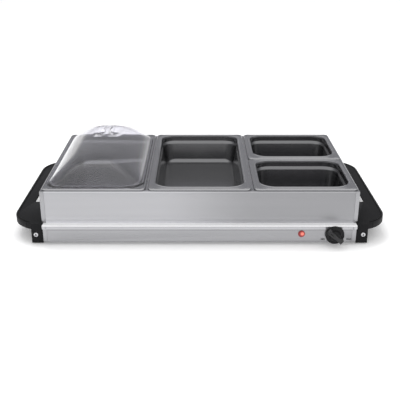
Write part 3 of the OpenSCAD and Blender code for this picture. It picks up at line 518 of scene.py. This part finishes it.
# %% [markdown]
# ## Folded edges
# A sheet that is folded in a press brake has a small round at each fold, and it is that
# round which catches the light. Rounds could be faked in the shading, but then the outline
# would stay sharp. The parts have square folds, so a merged copy of each one stands in for
# it. Its flat facets are joined again, the edges that lie on two sides of the part's own box
# (the folds) are rounded, and smooth shading is cut at real corners.

# %% Tools for merged copies
SOFT_ANGLE = math.radians(32)
CORNER_ANGLE = math.radians(50)


def settle(piece, body, finish=None):
    if finish:
        dress(piece, finish)
    piece.data.shade_smooth()
    piece.data.set_sharp_from_angle(angle=SOFT_ANGLE)
    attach(piece, body)
    return piece


def merged_copy(node):
    work = bmesh.new()
    work.from_mesh(frame["nodes"][node].data)
    bmesh.ops.remove_doubles(work, verts=work.verts, dist=1e-6)
    bmesh.ops.dissolve_limit(work, angle_limit=math.radians(0.4), verts=work.verts,
                             edges=work.edges)
    return work


def on_box_sides(edge, low, high):
    hits = 0
    for axis in range(3):
        for side in (low[axis], high[axis]):
            hits += all(abs(v.co[axis] - side) < 0.02 * MM for v in edge.verts)
    return hits >= 2


def sharp(edge):
    return len(edge.link_faces) == 2 and edge.calc_face_angle(0) > CORNER_ANGLE


def into_piece(work, name):
    mesh = bpy.data.meshes.new(name)
    work.to_mesh(mesh)
    work.free()
    return into_scene(bpy.data.objects.new(name, mesh))


def rounded_copy(node, name, radius, segments, every_edge=False):
    work = merged_copy(node)
    low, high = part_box(node)
    chosen = [e for e in work.edges
              if sharp(e) and (every_edge or on_box_sides(e, low, high))]
    bmesh.ops.bevel(work, geom=chosen, offset=radius, segments=segments, profile=0.5,
                    affect="EDGES", clamp_overlap=True)
    piece = into_piece(work, name)
    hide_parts(node)
    return settle(piece, body_of[node], finish_for(node))


print("corners sharper than", round(math.degrees(CORNER_ANGLE)), "degrees can be rounded")

# %% Round the folds
FOLD_R = 0.8 * MM
for node in ("front_panel", "rear_panel", "left_side_panel", "right_side_panel",
             "frame_front", "frame_rear", "frame_left", "frame_right",
             "left_divider", "right_divider", "cross_divider"):
    made = rounded_copy(node, node + "_folded", FOLD_R, 3)
    print(made.name, len(made.data.polygons), "faces")

# %% [markdown]
# ## Deck
# The deck already has its large rolled edge, so its copy needs no new rounding. It is merged
# only so that the roll shades as one smooth curve. Its top is painted near white and less
# metallic, a painted highlight that makes the ledge the brightest band. It could be given
# its own material, but the roll has no edge to end one at, so the finish knows the top by
# its height and blends into it down the roll.

# %% Deck
deck_steel = brushed_steel("deck_steel", [1.3 * c for c in steel_tint], 0, 0.30)
tree = deck_steel.node_tree
shader = tree.nodes["Principled BSDF"]
deck_top = sheet_foot
# The top is painted near white as a painted highlight.
painted_top_highlight = ramp(tree, place_axes(tree)["Z"], deck_top - 2.2 * MM, deck_top - 1.0 * MM)
paint_over(tree, shader, painted_top_highlight, (0.95, 0.95, 0.96))
metal = add(tree, "ShaderNodeMapRange", {"Value": painted_top_highlight, "To Min": 1.0, "To Max": 0.15})
tree.links.new(metal.outputs[0], shader.inputs["Metallic"])
deck = into_piece(merged_copy("deck"), "rolled_deck")
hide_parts("deck")
settle(deck, "base", deck_steel)
print("deck", len(deck.data.polygons), "faces")

# %% [markdown]
# ## Pans as one rule
# All four pans are the same pressing at two depths. Walking in from the rim, each step is a
# rounded rectangle with its own inset, corner radius and height, in millimetres: the rolled
# edge, a shallow bead, the mouth, the shoulder that lets pans stack, the tapered wall and the
# rounded foot. From the mouth to the foot, every corner keeps one centre, so radius and inset
# add up to one number. The list of steps is stored as a line of points. A Geometry Nodes tree
# spreads a grid over those steps and bends each row round its rectangle. Four pans could be
# modelled by hand, but one rule remakes a pan of any width or depth with every radius kept.

# %% Steps of the pan's section
def arc_steps(inset, radius, height, r, start, end, count):
    steps = []
    for i in range(count + 1):
        a = math.radians(start + (end - start) * i / count)
        steps.append((inset - r * math.cos(a), radius + r * math.cos(a),
                      height + r * math.sin(a)))
    return steps


EDGE_R, MOUTH_EDGE_R, MOUTH_R, RIM_W = 2.0, 2.5, 28.0, 11.0
FOOT_IN, FOOT_R, FOOT_EDGE_R, PAN_DEPTH = 28, 11, 9, 55
rim_steps = [(0, 9, -3.5)] + arc_steps(EDGE_R, 7, -EDGE_R, EDGE_R, 0, 90, 6)
bead_steps = [(2.9, 9.6, -0.05), (3.6, 12.4, -0.55), (4.6, 15.5, -0.7), (5.6, 19.2, -0.55),
              (6.4, 22.5, -0.1), (7.2, 25.6, 0)]
mouth_steps = arc_steps(RIM_W, MOUTH_R, -MOUTH_EDGE_R, MOUTH_EDGE_R, 90, 0, 6)
wall_steps = [(inset, RIM_W + MOUTH_R - inset, height) for inset, height in (
    (11, -3.1), (11, -9.9), (11, -10.6), (11.35, -11.6), (12.2, -12.9), (13.1, -13.9),
    (13.6, -15.2), (13.9, -17.0), (14.1, -18.2), (16.4, -31), (18.9, -45.3))]
foot_steps = arc_steps(FOOT_IN, FOOT_R, FOOT_EDGE_R - PAN_DEPTH, FOOT_EDGE_R, 0, -90, 6)
floor_steps = [(inset, FOOT_R, rise - PAN_DEPTH) for inset, rise in (
    (28.8, 0), (34, 0), (46, 0.1), (60, 0.1))]
steps = rim_steps + bead_steps + mouth_steps + wall_steps + foot_steps + floor_steps
print("the section has", len(steps), "steps")

# %% The tree that spreads the section round a rectangle
def open_tree(name, sockets):
    tree = bpy.data.node_groups.new(name, "GeometryNodeTree")
    tree.interface.new_socket("Geometry", in_out="INPUT", socket_type="NodeSocketGeometry")
    for label, kind in sockets:
        tree.interface.new_socket(label, in_out="INPUT", socket_type="NodeSocket" + kind)
    tree.interface.new_socket("Geometry", in_out="OUTPUT", socket_type="NodeSocketGeometry")
    return tree, tree.nodes.new("NodeGroupInput").outputs


def close_tree(tree, geometry, material):
    real = add(tree, "GeometryNodeRealizeInstances", {"Geometry": geometry})
    done = add(tree, "GeometryNodeSetMaterial",
               {"Geometry": real.outputs[0], "Material": material})
    out = tree.nodes.new("NodeGroupOutput")
    tree.links.new(done.outputs[0], out.inputs[0])


loft, given = open_tree("pan_from_steps", [("Width", "Float"), ("Depth", "Float"),
                                           ("Corner Steps", "Int"), ("Finish", "Material")])
corner = sum_of(loft, "ADD", given["Corner Steps"], 1.0)
around = sum_of(loft, "MULTIPLY", corner, 4.0)
row_length = sum_of(loft, "ADD", around, 1.0)
rings = add(loft, "GeometryNodeAttributeDomainSize", {"Geometry": given["Geometry"]})
grid = add(loft, "GeometryNodeMeshGrid", {
    "Vertices X": rings.outputs["Point Count"], "Vertices Y": row_length})
index = add(loft, "GeometryNodeInputIndex").outputs[0]
nudged = sum_of(loft, "ADD", index, 0.5)
row = sum_of(loft, "FLOOR", sum_of(loft, "DIVIDE", nudged, row_length))
column = sum_of(loft, "SUBTRACT", index, sum_of(loft, "MULTIPLY", row, row_length))
place = sum_of(loft, "MODULO", column, around)
which = sum_of(loft, "FLOOR", sum_of(loft, "DIVIDE", sum_of(loft, "ADD", place, 0.5), corner))
part_way = sum_of(loft, "DIVIDE",
                  sum_of(loft, "SUBTRACT", place, sum_of(loft, "MULTIPLY", which, corner)),
                  given["Corner Steps"])
angle = sum_of(loft, "MULTIPLY", sum_of(loft, "ADD", which, part_way), math.pi / 2)
aim = sum_of(loft, "MULTIPLY_ADD", which, math.pi / 2, math.pi / 4)
here = add(loft, "GeometryNodeInputPosition").outputs[0]
step = add(loft, "GeometryNodeSampleIndex", {"Geometry": given["Geometry"], "Index": row},
           data_type="FLOAT_VECTOR")
loft.links.new(here, step.inputs["Value"])
inset, radius, height = add(loft, "ShaderNodeSeparateXYZ",
                            {0: step.outputs["Value"]}).outputs


def side_of(size, turn):
    straight = sum_of(loft, "SUBTRACT", sum_of(loft, "SUBTRACT",
                      sum_of(loft, "MULTIPLY", size, 0.5), inset), radius)
    sign = sum_of(loft, "SIGN", sum_of(loft, turn, aim))
    bend = sum_of(loft, "MULTIPLY", radius, sum_of(loft, turn, angle))
    return sum_of(loft, "MULTIPLY_ADD", straight, sign, bend)


spot_on_pan = add(loft, "ShaderNodeCombineXYZ", {
    "X": side_of(given["Width"], "COSINE"), "Y": side_of(given["Depth"], "SINE"), "Z": height})
bent = add(loft, "GeometryNodeSetPosition",
           {"Geometry": grid.outputs["Mesh"], "Position": spot_on_pan.outputs[0]})
welded = add(loft, "GeometryNodeMergeByDistance", {"Geometry": bent.outputs[0],
                                                   "Distance": 1e-6})
close_tree(loft, welded.outputs[0], given["Finish"])
print("pan tree has", len(loft.nodes), "nodes")

# %% Grow the four pans
def evaluated_mesh(thing):
    bpy.context.view_layer.update()
    ready = thing.evaluated_get(bpy.context.evaluated_depsgraph_get())
    return bpy.data.meshes.new_from_object(ready)


def freeze(piece):
    old, piece.data = piece.data, evaluated_mesh(piece)
    piece.modifiers.clear()
    bpy.data.meshes.remove(old)
    return piece


def grow(piece, tree, values):
    held = piece.modifiers.new(tree.name, "NODES")
    held.node_group = tree
    names = {s.name: s.identifier for s in tree.interface.items_tree if s.in_out == "INPUT"}
    for label, value in values.items():
        held[names[label]] = value
    return freeze(piece)


def close_floor(piece, middle, top):
    work = bmesh.new()
    work.from_mesh(piece.data)
    deepest = min(v.co.z for v in work.verts)
    open_edges = [e for e in work.edges if e.is_boundary
                  and all(v.co.z < deepest + 1 * MM for v in e.verts)]
    bmesh.ops.contextual_create(work, geom=open_edges)
    bmesh.ops.recalc_face_normals(work, faces=work.faces)
    lowest = min(work.faces, key=lambda f: f.calc_center_median().length
                 + f.calc_center_median().z)
    if lowest.normal.z < 0:
        bmesh.ops.reverse_faces(work, faces=work.faces)
    bmesh.ops.translate(work, verts=work.verts, vec=(middle.x, middle.y, top))
    work.to_mesh(piece.data)
    work.free()


for node in ("left_pan", "middle_pan", "front_half_pan", "rear_half_pan"):
    low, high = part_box(node)
    pan = mesh_piece(node + "_pressed", [tuple(v * MM for v in s) for s in steps], [])
    grow(pan, loft, {"Width": high.x - low.x, "Depth": high.y - low.y, "Corner Steps": 12,
                     "Finish": pan_steel})
    close_floor(pan, (low + high) / 2, high.z)
    wall = pan.modifiers.new("sheet", "SOLIDIFY")
    wall.thickness = 1 * MM
    wall.offset = -1
    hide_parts(node)
    settle(pan, body_of[node])
    print(pan.name, len(pan.data.polygons), "faces")

# %% [markdown]
# ## Clear lid
# The dome is an arch from side to side whose ends are rounded off. Two finger hollows, one on
# each side of the middle, leave a ridge to lift it by. It could be sculpted, but a height
# above each point of the foot is easier to write and to change: rings shrink from the foot to
# the crown, and each point takes its height from the arch less the hollows, which are steep
# on the ridge's side. The same rings, a wall's thickness further in, make the inside, and a
# rim and a locating lip join the two.

# %% Lid shape
lid_low, lid_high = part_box("lid")
lid_mid = (lid_low + lid_high) / 2
RIM_REACH, WALL, PLATE, LIP_DROP = 4 * MM, 2 * MM, 1.5 * MM, 2.5 * MM
foot_hx = (lid_high.x - lid_low.x) / 2 - RIM_REACH
foot_hy = (lid_high.y - lid_low.y) / 2 - RIM_REACH
foot_r = MOUTH_R * MM
seat_z = lid_low.z + LIP_DROP
crown_z = lid_high.z
CORNER_STEPS, LONG_STEPS, SHORT_STEPS = 9, 26, 12
SIDE_POWER, END_POWER = 2.6, 5.5
HOLLOW_DEPTH, HOLLOW_MID, HOLLOW_REACH = 8 * MM, 70 * MM, 44 * MM


def loop(hx, hy, r):
    def on_corner(q, turn):
        sx, sy = ((1, 1), (-1, 1), (-1, -1), (1, -1))[q % 4]
        a = math.pi / 2 * turn
        return sx * (hx - r) + r * math.cos(a), sy * (hy - r) + r * math.sin(a)

    points = []
    for q in range(4):
        points += [on_corner(q, q + i / CORNER_STEPS) for i in range(CORNER_STEPS)]
        here, there = on_corner(q, q + 1), on_corner(q + 1, q + 1)
        count = LONG_STEPS if q % 2 else SHORT_STEPS
        points += [(here[0] + (there[0] - here[0]) * i / count,
                    here[1] + (there[1] - here[1]) * i / count) for i in range(count)]
    return points


def arch(x, y, hx, hy):
    across, along = min(abs(x / hx), 1), min(abs(y / hy), 1)
    return (1 - across ** SIDE_POWER) * math.sqrt(1 - along ** END_POWER)


def bump(q):
    return (1 - q * q) ** 2 if abs(q) < 1 else 0.0


def ease(value, start, end):
    t = min(max((value - start) / (end - start), 0), 1)
    return t * t * (3 - 2 * t)


def hollow(x, y):
    ridge_side = ease(abs(x), 5 * MM, 9 * MM)
    outer_side = 1 - ease(abs(x), 10 * MM, 30 * MM)
    return HOLLOW_DEPTH * ridge_side * outer_side * bump((y - HOLLOW_MID) / HOLLOW_REACH)


def dome_ring(s, inset):
    hx, hy = foot_hx - inset, foot_hy - inset
    rise = crown_z - seat_z - PLATE - inset
    ring = []
    for ex, ey in loop(hx, hy, foot_r - inset):
        x, y = ex * s, ey * s
        lift = arch(x, y, hx, hy) - arch(ex, ey, hx, hy) * s ** 10
        ring.append((x, y, seat_z + PLATE + rise * lift - hollow(x, y)))
    return ring


def flat_ring(grow_by, z):
    return [(x, y, z) for x, y in loop(foot_hx + grow_by, foot_hy + grow_by,
                                       foot_r + grow_by)]


RING_COUNT, CROWDING = 40, 0.85
ring_steps = [(i / RING_COUNT) ** CROWDING for i in range(1, RING_COUNT + 1)]
lip_in = -4.5 * MM
rings = [dome_ring(s, 0) for s in ring_steps]
rings += [flat_ring(RIM_REACH - 0.6 * MM, seat_z + PLATE),
          flat_ring(RIM_REACH - 0.15 * MM, seat_z + PLATE - 0.2 * MM),
          flat_ring(RIM_REACH, seat_z + PLATE - 0.6 * MM),
          flat_ring(RIM_REACH, seat_z), flat_ring(lip_in, seat_z),
          flat_ring(lip_in, seat_z - LIP_DROP), flat_ring(lip_in - PLATE, seat_z - LIP_DROP),
          flat_ring(lip_in - PLATE, seat_z + PLATE)]
rings += [dome_ring(s, WALL) for s in reversed(ring_steps)]
print("lid rings", len(rings), "of", len(rings[0]), "points")

# %% Lid piece
points = [(p[0] + lid_mid.x, p[1] + lid_mid.y, p[2]) for ring in rings for p in ring]
points += [(lid_mid.x, lid_mid.y, crown_z), (lid_mid.x, lid_mid.y, crown_z - WALL)]


def bands(count, ring_count):
    return [(j * count + i, j * count + (i + 1) % count, (j + 1) * count + (i + 1) % count,
             (j + 1) * count + i) for j in range(ring_count - 1) for i in range(count)]


count = len(rings[0])
inner_ring, crown = (len(rings) - 1) * count, len(rings) * count
faces = bands(count, len(rings))
faces += [(crown, (i + 1) % count, i) for i in range(count)]
faces += [(crown + 1, inner_ring + i, inner_ring + (i + 1) % count) for i in range(count)]
lid = mesh_piece("clear_lid", points, faces)
work = bmesh.new()
work.from_mesh(lid.data)
bmesh.ops.recalc_face_normals(work, faces=work.faces)
work.to_mesh(lid.data)
work.free()
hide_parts("lid")
settle(lid, "lid", lid_clear)
print("lid", len(lid.data.polygons), "faces")

# %% [markdown]
# ## Handles
# Each handle is one moulding: a flat loop, hollow below, with a finger slot and two leg
# blocks. It could be drawn again as a curve, but the part already has its outline. Every edge
# of a moulding is rounded a little, or it would not leave its tool, so this time the copy has
# all of its sharp edges rounded.

# %% Handles
for node in ("left_handle", "right_handle"):
    made = rounded_copy(node, node + "_moulded", 0.9 * MM, 2, every_edge=True)
    print(made.name, len(made.data.polygons), "faces")

# %% [markdown]
# ## Raised line round each handle
# A thin raised line follows the outer edge of the loop and gives the fingers an edge to
# find. It could be cut out of the handle, but it follows a path, so a curve and a round
# profile in Geometry Nodes fit it best: the path is drawn once, as a chain of edges, and the
# tree's input sets how thick the line is.

# %% Raised line
line_tree, given = open_tree("line_along_edge", [("Thickness", "Float"),
                                                 ("Finish", "Material")])
path = add(line_tree, "GeometryNodeMeshToCurve", {0: given["Geometry"]})
profile = add(line_tree, "GeometryNodeCurvePrimitiveCircle", {"Resolution": 8})
line_tree.links.new(sum_of(line_tree, "MULTIPLY", given["Thickness"], 0.5),
                    profile.inputs["Radius"])
tube = add(line_tree, "GeometryNodeCurveToMesh",
           {"Curve": path.outputs[0], "Profile Curve": profile.outputs[0],
            "Fill Caps": True})
close_tree(line_tree, tube.outputs[0], given["Finish"])

EDGE_IN, LINE_W = 3.2 * MM, 2.0 * MM
BEND_R, BEND_IN = 60 * MM, 58.5 * MM
LINE_START = 21 * MM
SWEEP, SWEEP_STEPS = 70, 24
for side, sign in (("left", -1), ("right", 1)):
    low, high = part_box(side + "_handle")
    outer = max(abs(low.x), abs(high.x)) - EDGE_IN
    inner = min(abs(low.x), abs(high.x)) + LINE_START
    bend_r = BEND_R - EDGE_IN
    bend_x, bend_y = outer - bend_r, high.y - BEND_IN
    angles = [math.radians(SWEEP * (i / SWEEP_STEPS - 1)) for i in range(SWEEP_STEPS + 1)]
    sweep = [(bend_x + bend_r * math.cos(a), -bend_y + bend_r * math.sin(a)) for a in angles]
    there_and_back = sweep + [(x, -y) for x, y in reversed(sweep)]
    path_points = [(sign * x, y, high.z) for x, y in there_and_back if x > inner]
    line = mesh_piece(side + "_handle_line", path_points, [],
                      [(i, i + 1) for i in range(len(path_points) - 1)])
    # The line's near-black finish paints the shade along the handle's edge.
    grow(line, line_tree, {"Thickness": LINE_W, "Finish": edge_line_painted_shade})
    settle(line, "base")
    print(line.name, len(line.data.polygons), "faces")

# %% [markdown]
# ## Screws
# Four pan-head screws hold the leg blocks and six hold the bottom cover. Ten copies could be
# placed by hand, but they are all one screw, so it is modelled once, as a turned head with a
# cross recess, and a Geometry Nodes tree sets it on a list of points. Each point carries the
# direction its screw faces. Outlines and profiles are in millimetres from here on.

# %% Lofted and turned shapes
def lofted(name, outlines):
    count = len(outlines[0])
    points = [tuple(v * MM for v in p) for ring in outlines for p in ring]
    faces = bands(count, len(outlines))
    faces += [tuple(reversed(range(count))),
              tuple(range((len(outlines) - 1) * count, len(outlines) * count))]
    return mesh_piece(name, points, faces)


def turned(name, profile, count):
    angles = [2 * math.pi * i / count for i in range(count)]
    return lofted(name, [[(r * math.cos(a), r * math.sin(a), z) for a in angles]
                         for r, z in profile])


print("loft and lathe ready")

# %% One screw
HEAD_R, HEAD_H = 4.0, 2.2
CROSS_REACH, CROSS_W, CROSS_FLOOR = 4.8, 1.3, 1.0
RECESS_SHADE_R, RECESS_SHADE_TOP = 2.5 * MM, 1.5 * MM
screw = turned("one_screw", [
    (2.0, -12), (2.0, 0), (3.7, 0), (HEAD_R, 0.25), (HEAD_R, 0.9), (3.75, 1.45), (3.2, 1.85),
    (2.4, 2.1), (1.2, HEAD_H)], 28)
for reach, width in ((CROSS_REACH, CROSS_W), (CROSS_W, CROSS_REACH)):
    work = bmesh.new()
    bar = bmesh.ops.create_cube(work, size=1)["verts"]
    tall = 2 * (HEAD_H - CROSS_FLOOR)
    bmesh.ops.scale(work, verts=bar, vec=(reach * MM, width * MM, tall * MM))
    bmesh.ops.translate(work, verts=bar, vec=(0, 0, HEAD_H * MM))
    cutter = into_piece(work, "slot_bar")
    held = screw.modifiers.new("cut", "BOOLEAN")
    held.operation, held.solver, held.object = "DIFFERENCE", "EXACT", cutter
    freeze(screw)
    bpy.data.objects.remove(cutter)
# Mark the points in the cross recess, where shade is painted.
painted_recess_shade = screw.data.attributes.new("recess", "FLOAT", "POINT")
for i, p in enumerate(screw.data.vertices):
    painted_recess_shade.data[i].value = float(math.hypot(p.co.x, p.co.y) < RECESS_SHADE_R
                               and 0 < p.co.z < RECESS_SHADE_TOP)
print("screw", len(screw.data.polygons), "faces")

# %% Screws on their points
set_tree, given = open_tree("set_on_points", [("Piece", "Object"), ("Size", "Float"),
                                              ("Finish", "Material")])
model = add(set_tree, "GeometryNodeObjectInfo", {"Object": given["Piece"]})
aim = add(set_tree, "GeometryNodeInputNamedAttribute", {"Name": "aim"},
          data_type="FLOAT_VECTOR")
turn = add(set_tree, "FunctionNodeAlignRotationToVector", {"Vector": aim.outputs[0]},
           axis="Z")
size = add(set_tree, "ShaderNodeCombineXYZ", {"X": given["Size"], "Y": given["Size"],
                                              "Z": given["Size"]})
copies = add(set_tree, "GeometryNodeInstanceOnPoints",
             {"Points": given["Geometry"], "Instance": model.outputs["Geometry"],
              "Rotation": turn.outputs[0], "Scale": size.outputs[0]})
close_tree(set_tree, copies.outputs[0], given["Finish"])


def set_on_points(name, spots, aims, model, size, finish):
    piece = mesh_piece(name, spots, [])
    kept = piece.data.attributes.new("aim", "FLOAT_VECTOR", "POINT")
    for i, direction in enumerate(aims):
        kept.data[i].vector = direction
    return grow(piece, set_tree, {"Piece": model, "Size": size, "Finish": finish})


low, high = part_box("handle_screws")
spots = [(sx * (high.x - HEAD_R * MM), sy * (high.y - HEAD_H * MM), (low.z + high.z) / 2)
         for sx in (-1, 1) for sy in (-1, 1)]
outward = [(0, math.copysign(1, spot[1]), 0) for spot in spots]
leg_screws = set_on_points("leg_screws", spots, outward, screw, 1.0, screw_steel)
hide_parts("handle_screws")
settle(leg_screws, "base")

COVER_SIZE = 0.9
FRONT_ROW, REAR_ROW = (-200, 0, 200), (-200, 0, 180)  # the last stands clear of the gland
low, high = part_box("bottom_screws")
row_y = high.y - COVER_SIZE * HEAD_R * MM
spots = [(x * MM, y, low.z + COVER_SIZE * HEAD_H * MM)
         for row, y in ((FRONT_ROW, -row_y), (REAR_ROW, row_y)) for x in row]
cover_screws = set_on_points("cover_screws", spots, [(0, 0, -1)] * len(spots), screw,
                             COVER_SIZE, screw_steel)
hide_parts("bottom_screws")
settle(cover_screws, "base")
bpy.data.objects.remove(screw)
print("screws", len(leg_screws.data.polygons), len(cover_screws.data.polygons), "faces")

# %% [markdown]
# ## Knob
# The knob is a low round skirt with a raised bar across it. The bar leans in towards its top
# and its long sides are slightly hollow for the fingers. The part's own knob could be
# rounded, but its hollows need more outlines than it has. So both are lofted from outlines
# that shrink as they rise, then turned to the angle at which the knob rests.

# %% Knob
low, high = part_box("knob")
knob_x, knob_z = (low.x + high.x) / 2, (low.z + high.z) / 2
knob_r = (high.z - low.z) / 2 / MM
top = (high.y - low.y) / MM
REST_TURN = math.radians(50)
BAR_STEPS, BAR_SHARE = 18, 0.98
MARK_OUT, MARK_LENGTH, MARK_W = 8.6, 8.4, 1.3


def bar_outline(length, width, waist, z):
    ways = [i / BAR_STEPS - 0.5 for i in range(BAR_STEPS + 1)]
    right = [((width - waist * math.cos(math.pi * t)) / 2, length * t * BAR_SHARE, z)
             for t in ways]
    return right + [(-x, y, z) for x, y, _ in reversed(right)]


skirt = turned("knob_skirt", [
    (15.4, 0), (knob_r, 0.4), (knob_r, 2.6), (15.6, 3.3), (15.0, 3.8), (14.0, 4.0),
    (10.6, 4.0), (9.9, 4.5), (9.2, 6.5), (8.2, 9.2), (7.4, 10.2), (6.2, 10.6), (3.0, 10.7)],
    72)
bar = lofted("knob_bar", [bar_outline(*step) for step in (
    (30.6, 9.4, 1.6, 3.6), (30.2, 8.8, 1.7, 6.5), (29.6, 8.2, 1.8, top - 1.6),
    (29.2, 7.9, 1.8, top - 0.8), (28.4, 7.2, 1.7, top - 0.2), (27.6, 6.4, 1.6, top))])
mark = lofted("knob_mark", [[(x, y + MARK_OUT, z) for x, y, _ in
                             bar_outline(MARK_LENGTH, MARK_W, 0, z)]
                            for z in (top - 0.3, top)])
to_knob = (Matrix.Translation((knob_x, high.y, knob_z))
           @ Matrix.Rotation(math.pi / 2, 4, "X") @ Matrix.Rotation(REST_TURN, 4, "Z"))
for piece in (skirt, bar, mark):
    piece.data.transform(to_knob)
print("knob stands", round(top, 1), "mm proud of the panel")

# %% Knob finish
mark_white, tree, shader = new_finish("mark_white", {"Roughness": 0.5})
chips = pattern(tree, "ShaderNodeTexNoise", (900, 900, 900), {"Scale": 1.0}).outputs[0]
shade(tree, shader, chips, (0.25, 0.25, 0.25), (0.36, 0.36, 0.36))
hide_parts("knob")
for piece, finish in ((skirt, knob_plastic), (bar, knob_bar_painted_highlight), (mark, mark_white)):
    settle(piece, "knob", finish)
print("knob pieces ride on the knob")

# %% [markdown]
# ## Pilot lens
# The lens is a collar and a low dome moulded in one. A squashed sphere would do from afar,
# but a turned profile also gives the flat collar that rests on the panel, and its step.

# %% Pilot lens
panel_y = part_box("front_panel")[0].y
rim = (lens_high.x - lens_low.x) / 2 / MM
proud = (panel_y - lens_low.y) / MM
COLLAR_H, DOME_IN = 1.3, 0.9
dome = [((rim - DOME_IN) * math.cos(math.radians(a)),
         COLLAR_H + (proud - COLLAR_H) * math.sin(math.radians(a))) for a in range(0, 90, 10)]
lens = turned("pilot_lens_turned", [
    (rim - 0.7, -13), (rim - 0.7, 0), (rim, 0), (rim, 0.9), (rim - 0.25, 1.25), *dome,
    (0.2, proud)], 40)
lens.data.transform(Matrix.Translation((lens_mid.x, panel_y, lens_mid.z))
                    @ Matrix.Rotation(math.pi / 2, 4, "X"))
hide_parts("pilot_lens")
settle(lens, "base", lens_red)
print("lens stands", round(proud, 1), "mm proud")

# %% [markdown]
# ## Dial words
# The panel is printed with MIN and MAX at the ends of the knob's travel. Print could be
# painted on in a material, but it would blur close up. Text is a curve in Blender, so it is
# given a hair of thickness, made a mesh and then stood up on the panel.

# %% Dial words
ink, tree, shader = new_finish("dial_ink", {"Roughness": 0.6})
dots = pattern(tree, "ShaderNodeTexNoise", (2500, 2500, 2500), {"Scale": 1.0}).outputs[0]
shade(tree, shader, dots, (0.012, 0.012, 0.013), (0.03, 0.03, 0.032))
WORD_SIZE, WORD_BOLD, WORD_Z = 3.9 * MM, 0.2 * MM, 11.4 * MM
INK_H, INK_BACK = 0.03 * MM, 0.05 * MM
for word, x in (("MIN", knob_x - 19.6 * MM), ("MAX", knob_x + 24.8 * MM)):
    text = bpy.data.curves.new("dial_" + word.lower(), "FONT")
    text.body = word
    text.size, text.offset, text.extrude = WORD_SIZE, WORD_BOLD, INK_H
    text.align_x = text.align_y = "CENTER"
    held = into_scene(bpy.data.objects.new("held_" + word.lower(), text))
    mesh = evaluated_mesh(held)
    bpy.data.objects.remove(held)
    mesh.transform(Matrix.Translation((x, panel_y - INK_BACK, WORD_Z))
                   @ Matrix.Rotation(math.pi / 2, 4, "X"))
    piece = into_scene(bpy.data.objects.new("dial_" + word.lower(), mesh))
    settle(piece, "base", ink)
    print(word, len(mesh.polygons), "faces")

# %% [markdown]
# ## Cord gland
# The gland's cap has grip ribs round it. A bump in the material would not show at its edge,
# so real ribs are set round the cap with the same tree that set the screws, each one facing
# outwards. The gland and the rubber feet are mouldings too, so their edges are rounded.

# %% Gland ribs
low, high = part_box("cord_gland")
gland_mid = (low + high) / 2
RIB_COUNT, RIB_RING_R, RIB_IN = 18, 7.6 * MM, 6 * MM
RIB_W, RIB_LENGTH = 1.1, 6.8
rib_corners = [(x * RIB_W / 2, y * RIB_LENGTH / 2)
               for x, y in ((-1, -1), (1, -1), (1, 1), (-1, 1))]
rib = lofted("one_rib", [[(x * share, y * share, z) for x, y in rib_corners]
                         for share, z in ((1.0, -0.4), (1.0, 0.25), (0.7, 0.5))])
angles = [2 * math.pi * i / RIB_COUNT for i in range(RIB_COUNT)]
aims = [(math.cos(a), 0, math.sin(a)) for a in angles]
spots = [(gland_mid.x + RIB_RING_R * x, high.y - RIB_IN, gland_mid.z + RIB_RING_R * z)
         for x, _, z in aims]
gland_ribs = set_on_points("gland_ribs", spots, aims, rib, 1.0, gland_plastic)
settle(gland_ribs, "base")
bpy.data.objects.remove(rib)
for node in ("cord_gland", "rubber_feet"):
    made = rounded_copy(node, node + "_moulded", 0.4 * MM, 2, every_edge=True)
    print(made.name, len(made.data.polygons), "faces")
